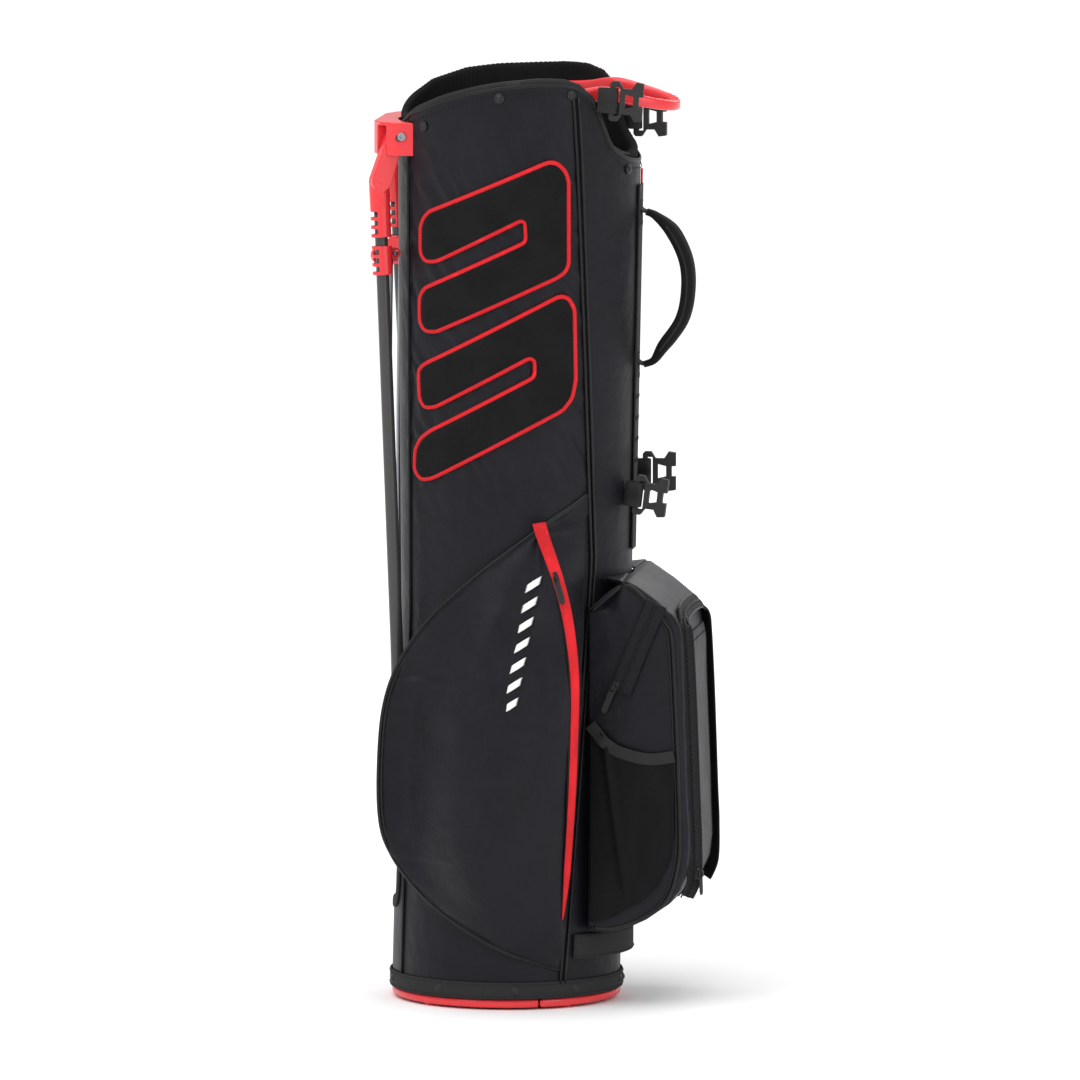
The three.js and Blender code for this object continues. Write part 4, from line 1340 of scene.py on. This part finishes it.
@dataclass
class BallPocket:
    """Box pocket on the spine: side faces, zipped front lid, valuables zip and mesh pocket."""

    low: float = 73
    high: float = 403
    root: float = 88.5
    front: Rows = (
        (73, 112), (76, 122), (84, 142), (100, 165), (112, 175), (130, 182), (150, 184), (350, 177), (362, 175),
        (371, 170), (388, 150), (397, 137), (403, 126),
    )
    shoulder: Rows = ((0, 88.5), (374, 88.5), (388, 101), (403, 118))
    corner: float = 9.0
    around: int = 160
    draw_in: float = 0.04
    cloth: float = 1.2
    zip_line: tuple[Spot, ...] = (
        (180, -67, 106), (186.5, -67, 124), (187, -68, 160), (185.6, -68, 196), (182, -69, 291), (178.6, -69, 352),
        (176, -66, 363), (174, -52, 369), (173, -25, 371), (173, 0, 371.5),
    )
    valuables: tuple[tuple[float, float], ...] = ((119.5, 300), (136, 342), (154, 384))
    face_edge: Rows = (
        (94, 76.5), (110, 76), (134, 83), (156, 97), (167, 112), (173, 132), (176, 160), (174, 230),
        (171, 300), (168, 350), (163, 364), (146, 383), (130, 398), (122, 399), (107, 388), (92, 375),
    )
    mesh_top: Rows = ((90.6, 272.7), (105, 257), (119.4, 247.9), (148.3, 242.1), (177.1, 246.7))

    def side_y(self, x: float) -> float:
        """Distance of the side face from the middle."""
        return 77 + (x - self.root) * 0.092

    @staticmethod
    def swell(z: float) -> float:
        """How far the front face bulges at a height."""
        return 3.2 * smooth((z - 80) / 60) * smooth((372 - z) / 40)

    def loop(self, z: float) -> list[Vector]:
        """Outside of the pocket at a height, from the near root round to the far root."""
        front = read(self.front, z)
        root = read(self.shoulder, z)
        soft = 1.3 * waver(1, 2, z, 60)
        corner = min(self.corner, (front - root) * 0.3)
        start = Vector((root, -self.side_y(root), z)) if root <= self.root + 1 else TUBE.side(root, z, 2.5)
        near = [
            start,
            Vector((root + (front - root) * 0.3, -self.side_y(root) - 2.4 - soft, z)),
            Vector(((root + front) / 2, -self.side_y((root + front) / 2) - 1.0 - soft, z)),
            Vector((front - corner, -self.side_y(front - corner), z)),
            Vector((front - corner * 0.35, -self.side_y(front) + corner * 0.35, z)),
            Vector((front, -self.side_y(front) + corner, z)),
        ]
        swell = self.swell(z)
        middle = [Vector((front + swell * 0.8, -36, z)), Vector((front + swell, 0, z))]
        far = [Vector((p.x, -p.y, p.z)) for p in reversed(near + middle[:1])]
        return near + middle + far

    def shell(self) -> None:
        """The pocket's cloth, closed at foot and head."""
        layers = Layers(self.loop, self.around)

        def place(u: float, v: float) -> Vector:
            """Point of the cloth. The first and last rows draw in to the wall."""
            share = (v - self.draw_in) / (1 - 2 * self.draw_in)
            z = self.low + (self.high - self.low) * min(1, max(0, share))
            inner = max(0.0, -share, share - 1) * (1 - 2 * self.draw_in) / self.draw_in
            point = layers.at(u, z)
            crease = 0.8 * waver(point.x, point.y, z, 24) + 1.1 * waver(point.x, point.y, z, 55)
            free = smooth(u / 0.05) * smooth((1 - u) / 0.05)
            out = Vector((0.25, -1 if u < 0.5 else 1, 0)) if point.x < 170 else TO_SPINE
            point = point + out.normalized() * crease * free * (1 - inner)
            home = TUBE.at(math.degrees(math.atan2(-point.y, 105)) * 0.92, z, 2.2)
            return point.lerp(home, inner * 0.96)

        bm = grid(176, 150, place)
        Piece("ball_pocket_cloth", "fabric", replaces=("ball_pocket",), thick=self.cloth).make(bm, Finish.NYLON)

    def face_path(self, side: Side, proud: float) -> list[Vector]:
        """Edge line of a side face, up the front and over the top to the wall."""
        knots = [side.turn(Vector((x, -self.side_y(x) - proud, z))) for x, z in self.face_edge]
        return spline(knots, 170)

    def seams(self) -> None:
        """Piping round each side face."""
        for side in Side:
            out = side.turn(Vector((0.35, -0.93, 0)))
            cords = [sweep(self.face_path(side, 0.8), round_cord(1.7), out, 8)]
            inner = [p + Vector((-3.4, 0, 0)) for p in self.face_path(side, 0.6)]
            cords.append(sweep(inner, round_cord(1.1), out, 8))
            Piece(side.word + "_ball_piping", "fabric").make(merged(*cords), Finish.PIPING)

    def front_zip(self) -> None:
        """Zip up the near corner, over the top and down the far corner, and the lid's panel."""
        near = list(self.zip_line)
        knots = near + [(x, -y, z) for x, y, z in reversed(near[:-1])]
        path = spline(knots, 260)

        def out(point: Vector) -> Vector:
            """Outward direction on the pocket's corner."""
            lift = smooth((point.z - 350) / 22)
            return Vector((1, 1.1 * point.y / 70 * (1 - lift), 0.75 * lift)).normalized()

        tape = [p + out(p) * 0.9 for p in path]
        Piece("ball_zip_tape", "fabric").make(sweep(tape, flat_strap(7.5, 0.7, 0.35), out, 12), Finish.TAPE)
        teeth = zip_teeth([p + out(p) * 1.7 for p in path], out)
        Piece("ball_zip_teeth", "black_plastic").make(teeth, Finish.ZIP_TEETH)
        cords = []
        for sign in (-1, 1):
            line = [p + self.across(p, out) * sign * 7.6 + out(p) * 1.1 for p in path]
            cords.append(sweep(line, round_cord(0.9), out, 6))
        Piece("ball_zip_piping", "fabric").make(merged(*cords), Finish.PIPING)

        def lid(u: float, v: float) -> Vector:
            """Point of the lid's laminated panel."""
            y = -54 + 108 * u
            z = 104 + 246 * v
            front = read(self.front, z)
            round_off = 1.2 * (1 - min(1.0, 12 * min(u, 1 - u, v, 1 - v))) ** 2
            return Vector((front + self.swell(z) + 2.0 - round_off + 0.5 * waver(0, y, z, 40), y, z))

        Piece("ball_pocket_panel", "fabric", thick=1.0).make(grid(60, 130, lid), Finish.PANEL)
        Piece("ball_panel_stitching", "fabric").make(self.lid_row(lid, 0.03), Finish.THREAD)

    @staticmethod
    def lid_row(lid: Place, inset: float) -> bmesh.types.BMesh:
        """Stitch row just inside the lid panel's edge."""
        low, high = inset, 1 - inset
        corners = [(low, low), (high, low), (high, high), (low, high), (low, low)]
        line = []
        for (u0, v0), (u1, v1) in zip(corners, corners[1:]):
            shares = [k / 30 for k in range(30)]
            line += [lid(u0 + (u1 - u0) * t, v0 + (v1 - v0) * t) + TO_SPINE * 0.5 for t in shares]
        return stitches(line + [line[0]], lambda _: TO_SPINE)

    @staticmethod
    def across(point: Vector, out: Outward) -> Vector:
        """Direction across the front zip at a point."""
        turn = out(point)
        along = UP if abs(point.y) > 55 else Vector((0, 1, 0))
        return along.cross(turn).normalized()

    def valuables_zip(self) -> None:
        """Slanted zip high on the near face, between two stitched bands."""
        spot = lambda x, z, proud: Vector((x, -self.side_y(x) - proud, z))
        out = Vector((-0.092, -1, 0)).normalized()
        line = spline([spot(x, z, 3.6) for x, z in self.valuables], 60)
        band = sweep(line, flat_strap(10.5, 1.0, 0.3), out, 12)
        Piece("valuables_zip_band", "fabric").make(band, Finish.TAPE)
        teeth = zip_teeth([p + out * 1.0 for p in line], lambda _: out, 1.7)
        Piece("valuables_zip_teeth", "black_plastic").make(teeth, Finish.ZIP_TEETH)
        aside = Vector((0.92, -0.085, -0.39)).normalized()
        rows = []
        for shift in (-9.2, -6.2, 6.2, 9.2):
            row = [p + aside * shift + out * 1.15 for p in line]
            rows.append(stitches(row, lambda _: out, 2.2, 3.4, 0.32))
        Piece("valuables_stitching", "fabric").make(merged(*rows), Finish.THREAD)

    def mesh_pocket(self) -> None:
        """Open-topped mesh pocket on the near face with an elastic hem and one pleat."""
        hem_line = [(p.x, p.z) for p in spline([(x, 0, z) for x, z in self.mesh_top], 24)]
        lower = ((90.6, 79), (110, 84), (137, 99), (154, 114), (166, 137), (170, 160))

        def place(u: float, v: float) -> Vector:
            """Point of the mesh."""
            x = 90.6 + 80 * u
            bottom, top = read(lower, x) + 3, read(hem_line, x)
            z = bottom + (top - bottom) * v
            fold = (x - (104 + 24 * (1 - v))) / 4
            pleat = 3.4 * math.exp(-(fold**2)) * smooth(v / 0.2)
            belly = 2.6 * math.sin(math.pi * u) * math.sin(math.pi * min(1, v * 0.6 + 0.1))
            return Vector((x, -self.side_y(x) - 3.4 - belly - pleat - 0.5 * waver(x, 0, z, 16), z))

        bm = grid(64, 110, place)
        Piece("mesh_pocket_net", "fabric", replaces=("mesh_pocket",), thick=0.7).make(bm, Finish.MESH)
        line = [place(k / 60, 1.0) + Vector((0, -0.3, -4.5)) for k in range(61)]
        hem = sweep(line, flat_strap(5.6, 0.9, 0.35), Vector((0, -1, 0)), 12)
        Piece("mesh_pocket_elastic", "webbing").make(hem, Finish.WEBBING)

    def build(self) -> None:
        """Makes the pocket and its zips."""
        self.shell()
        self.seams()
        self.front_zip()
        self.valuables_zip()
        self.mesh_pocket()


@dataclass
class Straps:
    """Trunk strap, padded side handle, spine webbing and the loops that hold the buckles."""

    grab_path: Rows = (
        (133, 0, 741), (142, 0, 737), (158, 0, 722), (170, 0, 696), (172, 0, 668), (166, 0, 640), (148, 0, 614),
        (140, 0, 602), (131, 0, 598),
    )
    trunk_height: float = 58.0
    box_stitch: Rows = ((-9, -11, 9, 11), (9, -11, -9, 11), (-9, -11, 9, -11), (-9, 11, 9, 11))
    buckle_bars: tuple[tuple[str, Spot, Spot, float, float], ...] = (
        ("near_lower", (128.5, -30, 479), (1, -0.05, 0), 12, 0.12),
        ("far_lower", (128.5, 30, 494), (1, 0.05, 0), 12, 0),
        ("near_upper", (110.5, -70, 851), (1, 0.05, 0), 14, 0.06),
        ("far_upper", (115, 66, 824), (1, -0.05, 0), 14, 0),
    )
    web_loop: Rows = (
        (-8, -4.6), (-3, -5.6), (2.2, -5.6), (4, -2.2), (4, 2.2), (2.2, 5.6), (-3, 5.6), (-8, 4.6),
    )
    lift_near: tuple[Spot, ...] = (
        (50, -76.5, 846), (72, -63, 850), (98, -48, 855.5), (128, -42, 849.5), (152, -24, 843.5),
    )
    lift_tip: Spot = (159, 0, 841.5)

    def trunk(self) -> None:
        """Flat webbing across the spine under the ball pocket."""
        slack = {d: 2.2 + 9 * math.cos(math.radians(d * 1.8)) for d in range(-48, 49, 8)}
        path = spline([TUBE.at(d, self.trunk_height, proud) for d, proud in slack.items()], 60)
        web = sweep(path, flat_strap(0.9, 11.5, 0.3), UP, 16)
        Piece("trunk_strap_web", "webbing", replaces=("trunk_strap",)).make(web, Finish.WEBBING)
        rows = []
        for z in (-9.6, 9.6):
            rows.append(stitches([p + TUBE.out(p) * 1.2 + Vector((0, 0, z)) for p in path], TUBE.out))
        Piece("trunk_strap_stitching", "webbing").make(merged(*rows), Finish.THREAD)

    def grab(self) -> None:
        """Padded handle with flat webbing ends, a seam down each edge and stitched anchors."""
        path = spline(self.grab_path, 90)
        ends = lambda t: smooth(min(1.0, min(t, 1 - t) * 5))
        up = Vector((1, 0, 0.001))
        section = flat_strap(lambda t: 8 + 7 * ends(t), lambda t: 3.0 + 3.3 * ends(t), 0.62)
        body = sweep(path, section, up, 20)
        obj = Piece("side_handle_grip", "padding", Body.GRAB, ("grab_handle",)).make(body, Finish.PAD)
        cords = []
        turns = frames(path, up)
        for sign in (-1, 1):
            line = [p + turns[i][1] * sign * (7.4 + 6.7 * ends(i / 90)) for i, p in enumerate(path)]
            cords.append(sweep(line[12:-11], round_cord(1.3), up, 8))
        Piece("side_handle_piping", "padding", Body.GRAB).make(merged(*cords), Finish.PIPING)
        for name, z in (("grab_anchor_upper", 741.0), ("grab_anchor_lower", 598.0)):
            x = TUBE.at(0, z).x
            reach = 133 if z > 700 else 131.5
            knots = [(x + 2.0, 0, z + 4), (x + 4.5, 0, z + 1.5), (reach + 1, 0, z)]
            tail = even([Vector(knot) for knot in knots], 12)
            bm = sweep(tail, flat_strap(9.5, 1.1, 0.3), UP, 14)
            Piece(name + "_tail", "webbing").make(bm, Finish.WEBBING)
            patch = [Vector((x + 1.9, 0, z + k)) for k in range(-14, 15, 2)]
            bm = sweep(patch, flat_strap(12, 1.25, 0.25), TO_SPINE, 16)
            Piece(name + "_patch", "webbing", replaces=(name,)).make(bm, Finish.WEBBING)
            cross = []
            for y0, z0, y1, z1 in self.box_stitch:
                row = [Vector((x + 3.3, y0, z + z0)), Vector((x + 3.3, y1, z + z1))]
                cross.append(stitches(row, lambda _: TO_SPINE, 2.4, 3.2))
            Piece(name + "_stitching", "webbing").make(merged(*cross), Finish.THREAD)

    def spine(self) -> None:
        """Webbing down the middle of the spine with bar tacks, and two short red tabs."""
        path = [TUBE.at(0, z, 2.1) for z in range(425, 768, 6)]
        web = sweep(path, flat_strap(12.5, 0.9, 0.25), TO_SPINE, 14)
        Piece("spine_webbing", "webbing").make(web, Finish.WEBBING)
        tacks = []
        for z in (508, 528, 548, 568):
            for shift in (-1.2, 0, 1.2):
                line = [TUBE.at(0, z + shift, 3.4) + Vector((0, y, 0)) for y in (-10.5, 10.5)]
                tacks.append(stitches(line, lambda _: TO_SPINE, 1.9, 2.0, 0.4))
        Piece("spine_bar_tacks", "webbing").make(merged(*tacks), Finish.THREAD)
        tabs = []
        for degrees in (-9, -20):
            line = [TUBE.at(degrees, z, 2.0) for z in range(748, 784, 4)]
            tabs.append(sweep(line, flat_strap(4.0, 0.9, 0.3), TUBE.out, 12))
        Piece("spine_red_tabs", "red_plastic").make(merged(*tabs), Finish.RED_TAPE)

    def lift(self) -> None:
        """Moulded lift handle: a loop from the mouth that thins to a ribbed tip over the spine."""
        far = [(x, -y, z) for x, y, z in reversed(self.lift_near)]
        path = spline([*self.lift_near, self.lift_tip, *far], 120)
        tall = lambda t: 10.0 - 5.2 * math.sin(math.pi * t) ** 0.8
        loop = sweep(path, flat_strap(5.0, tall, 0.55), UP, 28)
        Piece("lift_handle_loop", "red_plastic", replaces=("lift_handle",)).make(loop, Finish.RED_PLASTIC)
        ribs = bmesh.new()
        for i in range(48, 73, 3):
            turn = settled(path[i] + UP * (tall(i / 120) - 0.3), UP, path[i + 1] - path[i])
            shape = Matrix.Diagonal((1.1, 3.9, 1.0, 1))
            bmesh.ops.create_uvsphere(ribs, u_segments=12, v_segments=8, radius=1, matrix=turn @ shape)
        Piece("lift_handle_ribs", "red_plastic").make(ribs, Finish.RED_PLASTIC)

    def buckle_webs(self) -> None:
        """Webbing loop through each buckle's bar, sewn to the bag."""
        for name, bar, out, long, droop in self.buckle_bars:
            level = Vector(out).normalized()
            out_way = level * math.cos(droop) - Vector((0, 0, math.sin(droop)))
            rise = Vector((0, 0, math.cos(droop))) + level * math.sin(droop)
            aside = rise.cross(out_way).normalized()
            spots = [(-long, -1.4), *self.web_loop, (-long, 1.4)]
            path = spline([Vector(bar) + out_way * a + aside * b for a, b in spots], 48)
            web = sweep(path, flat_strap(0.55, 11.5, 0.3), rise, 16)
            Piece(name + "_web_loop", "webbing", replaces=(name + "_web",)).make(web, Finish.WEBBING)

    def build(self) -> None:
        """Makes every strap."""
        self.trunk()
        self.grab()
        self.lift()
        self.spine()
        self.buckle_webs()


@dataclass
class LegSet:
    """One carbon leg with its rod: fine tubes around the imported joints."""

    side: Side
    top: Spot = (-110.5, -52, 742)
    end: Spot = (-86, -72, 160)
    radius: float = 6.0
    rod_radius: float = 2.0
    rod_head: Spot = (-99, -39, 703)
    rod_axis: Spot = (0.462, -0.886, -0.033)
    rod_foot: Spot = (-90, -9, 24)

    def build(self) -> None:
        """Makes the leg tube and the rod."""
        word = self.side.word
        leg_body = Body.NEAR_LEG if self.side is Side.NEAR else Body.FAR_LEG
        rod_body = Body.NEAR_ROD if self.side is Side.NEAR else Body.FAR_ROD
        top, end = Vector(self.top), Vector(self.end)
        down = (end - top).normalized()
        at = lambda z: self.side.turn(top + down * ((z - top.z) / down.z))
        path = even([at(744), at(172)], 60)
        tube = sweep(path, round_cord(self.radius), TO_SPINE, 32)
        Piece(word + "_leg_carbon", "carbon", leg_body, (word + "_leg_tube",)).make(tube, Finish.CARBON)
        axis = Vector(self.rod_axis).normalized()
        head, foot = Vector(self.rod_head), Vector(self.rod_foot)
        side = head - axis * 7.5
        knots = [
            head + axis * 2.4,
            head - axis * 3.4,
            side,
            side + Vector((-1.2, 2, -6)),
            Vector((-104.5, -25, 375)),
            Vector((-101.5, -18, 200)),
            Vector((-94, -11, 80)),
            foot + UP * 14,
            foot,
        ]
        path = [self.side.turn(p) for p in spline(self.eased(knots), 150)]
        across = self.side.turn(axis.cross(UP).normalized())
        rod = sweep(path, round_cord(self.rod_radius), across, 14)
        Piece(word + "_rod_wire", "steel", rod_body, (word + "_link_rod",)).make(rod, Finish.STEEL)

    @staticmethod
    def eased(knots: list[Vector]) -> list[Vector]:
        """Extra points near the hook, so that the long span doesn't swing wide."""
        first, second = knots[3], knots[4]
        shares = (0.06, 0.2, 0.5, 0.8)
        extra = [first.lerp(second, t) - TO_SPINE * 1.6 * math.sin(math.pi * t) for t in shares]
        return knots[:4] + extra + knots[4:]


@dataclass
class KeptParts:
    """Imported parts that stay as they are, each with its finish and softened moulded edges."""

    voxel: tuple[tuple[str, float], ...] = (
        ("sole", 1.3), ("leg_housing", 0.8), ("knuckle", 0.55), ("collar", 0.55),
    )
    finishes: tuple[tuple[str, Finish], ...] = (
        ("sole_hinge_pin", Finish.STEEL), ("sole", Finish.RED_PLASTIC),
        ("leg_housing", Finish.RED_PLASTIC), ("knuckle", Finish.RED_PLASTIC), ("collar", Finish.RED_PLASTIC),
        ("pin", Finish.STEEL), ("screw", Finish.STEEL),
        ("zip_slider", Finish.ZIP_METAL), ("zip_pull", Finish.RUBBER), ("buckle", Finish.BLACK_PLASTIC),
        ("foot", Finish.RUBBER), ("stay", Finish.CARBON),
    )
    weld: float = 0.01
    broken_edge: float = 0.3

    def dress(self) -> None:
        """Gives each kept node its material and modifiers."""
        for name, obj in sorted(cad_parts.items()):
            if obj.hide_render:
                continue
            finish = next((one for word, one in self.finishes if word in name), Finish.BLACK_PLASTIC)
            obj.data.materials.clear()
            obj.data.materials.append(finish.material)
            sizes = [size for word, size in self.voxel if word in name and "pin" not in name]
            if sizes:
                skin = obj.modifiers.new("moulded_skin", "REMESH")
                skin.mode = "VOXEL"
                skin.voxel_size = sizes[0] * METRES
                skin.use_smooth_shade = True
                ease = obj.modifiers.new("eased_edges", "SMOOTH")
                ease.factor, ease.iterations = 0.5, 4
            else:
                join = obj.modifiers.new("joined", "WELD")
                join.merge_threshold = self.weld * METRES
                edge = obj.modifiers.new("broken_edges", "BEVEL")
                edge.width, edge.segments = self.broken_edge * METRES, 2
            LOG.info("%s: %s", name, finish.value.name)


@dataclass
class Studio:
    """Pale floor, soft lights and the camera."""

    azimuth: float = 8.0
    elevation: float = 7.0
    distance: float = 14.1
    lens: float = 500.0
    aim: tuple[float, float] = (0.032, 0.427)
    floor_half: float = 90.0
    world_power: float = 0.62
    sun_power: float = 1.9
    lamps: tuple[tuple[str, Spot, float, float], ...] = (
        ("key", (-2.2, -3.4, 3.2), 2.6, 50),
        ("fill", (3.2, -2.4, 1.6), 1.8, 26),
        ("back", (1.2, 3.4, 2.8), 2.4, 40),
    )

    def camera(self) -> None:
        """A long lens from the near side, a little towards the spine."""
        turn, rise = math.radians(self.azimuth), math.radians(self.elevation)
        right = Vector((math.cos(turn), math.sin(turn), 0))
        back = Vector((math.sin(turn) * math.cos(rise), -math.cos(turn) * math.cos(rise), math.sin(rise)))
        up = back.cross(right)
        target = right * self.aim[0] + up * self.aim[1]
        data = bpy.data.cameras.new("camera")
        data.lens, data.sensor_width, data.clip_end = self.lens, 36.0, 400.0
        camera = bpy.data.objects.new("camera", data)
        basis = Matrix((right, up, back)).transposed().to_4x4()
        camera.matrix_world = Matrix.Translation(target + back * self.distance) @ basis
        bpy.context.scene.collection.objects.link(camera)
        bpy.context.scene.camera = camera

    def light(self, name: str, spot: tuple[float, float, float], size: float, power: float) -> None:
        """An area light that faces the bag."""
        data = bpy.data.lights.new(name, "AREA")
        data.size, data.energy = size, power
        lamp = bpy.data.objects.new(name, data)
        lamp.location = spot
        lamp.rotation_euler = (UP * 0.45 - Vector(spot)).to_track_quat("-Z", "Y").to_euler()
        bpy.context.scene.collection.objects.link(lamp)

    def build(self) -> None:
        """Makes the studio."""
        self.camera()
        world = bpy.data.worlds.new("studio")
        world.use_nodes = True
        background = world.node_tree.nodes["Background"]
        background.inputs[0].default_value = (1, 1, 1, 1)
        background.inputs[1].default_value = self.world_power
        bpy.context.scene.world = world
        for lamp_row in self.lamps:
            self.light(*lamp_row)
        sun = bpy.data.lights.new("sky", "SUN")
        sun.energy, sun.angle = self.sun_power, math.radians(60)
        lamp = bpy.data.objects.new("sky", sun)
        lamp.rotation_euler = (math.radians(12), math.radians(-8), 0)
        bpy.context.scene.collection.objects.link(lamp)
        bm = bmesh.new()
        bmesh.ops.create_grid(bm, x_segments=8, y_segments=8, size=self.floor_half)
        mesh = bpy.data.meshes.new("floor")
        bm.to_mesh(mesh)
        bm.free()
        mesh.materials.append(Finish.FLOOR.material)
        floor = bpy.data.objects.new("floor", mesh)
        bpy.context.scene.collection.objects.link(floor)
        bpy.context.scene.view_settings.view_transform = "Standard"


def main() -> None:
    """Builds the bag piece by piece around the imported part."""
    logging.basicConfig(level=logging.INFO, format="%(message)s")
    Studio().build()
    TubePanels().build()
    MouthInside().build()
    HipPads().build()
    for side in Side:
        ApparelPocket(side).build()
    BallPocket().build()
    Straps().build()
    for side in Side:
        LegSet(side).build()
    KeptParts().dress()


if __name__ == "__main__":
    main()
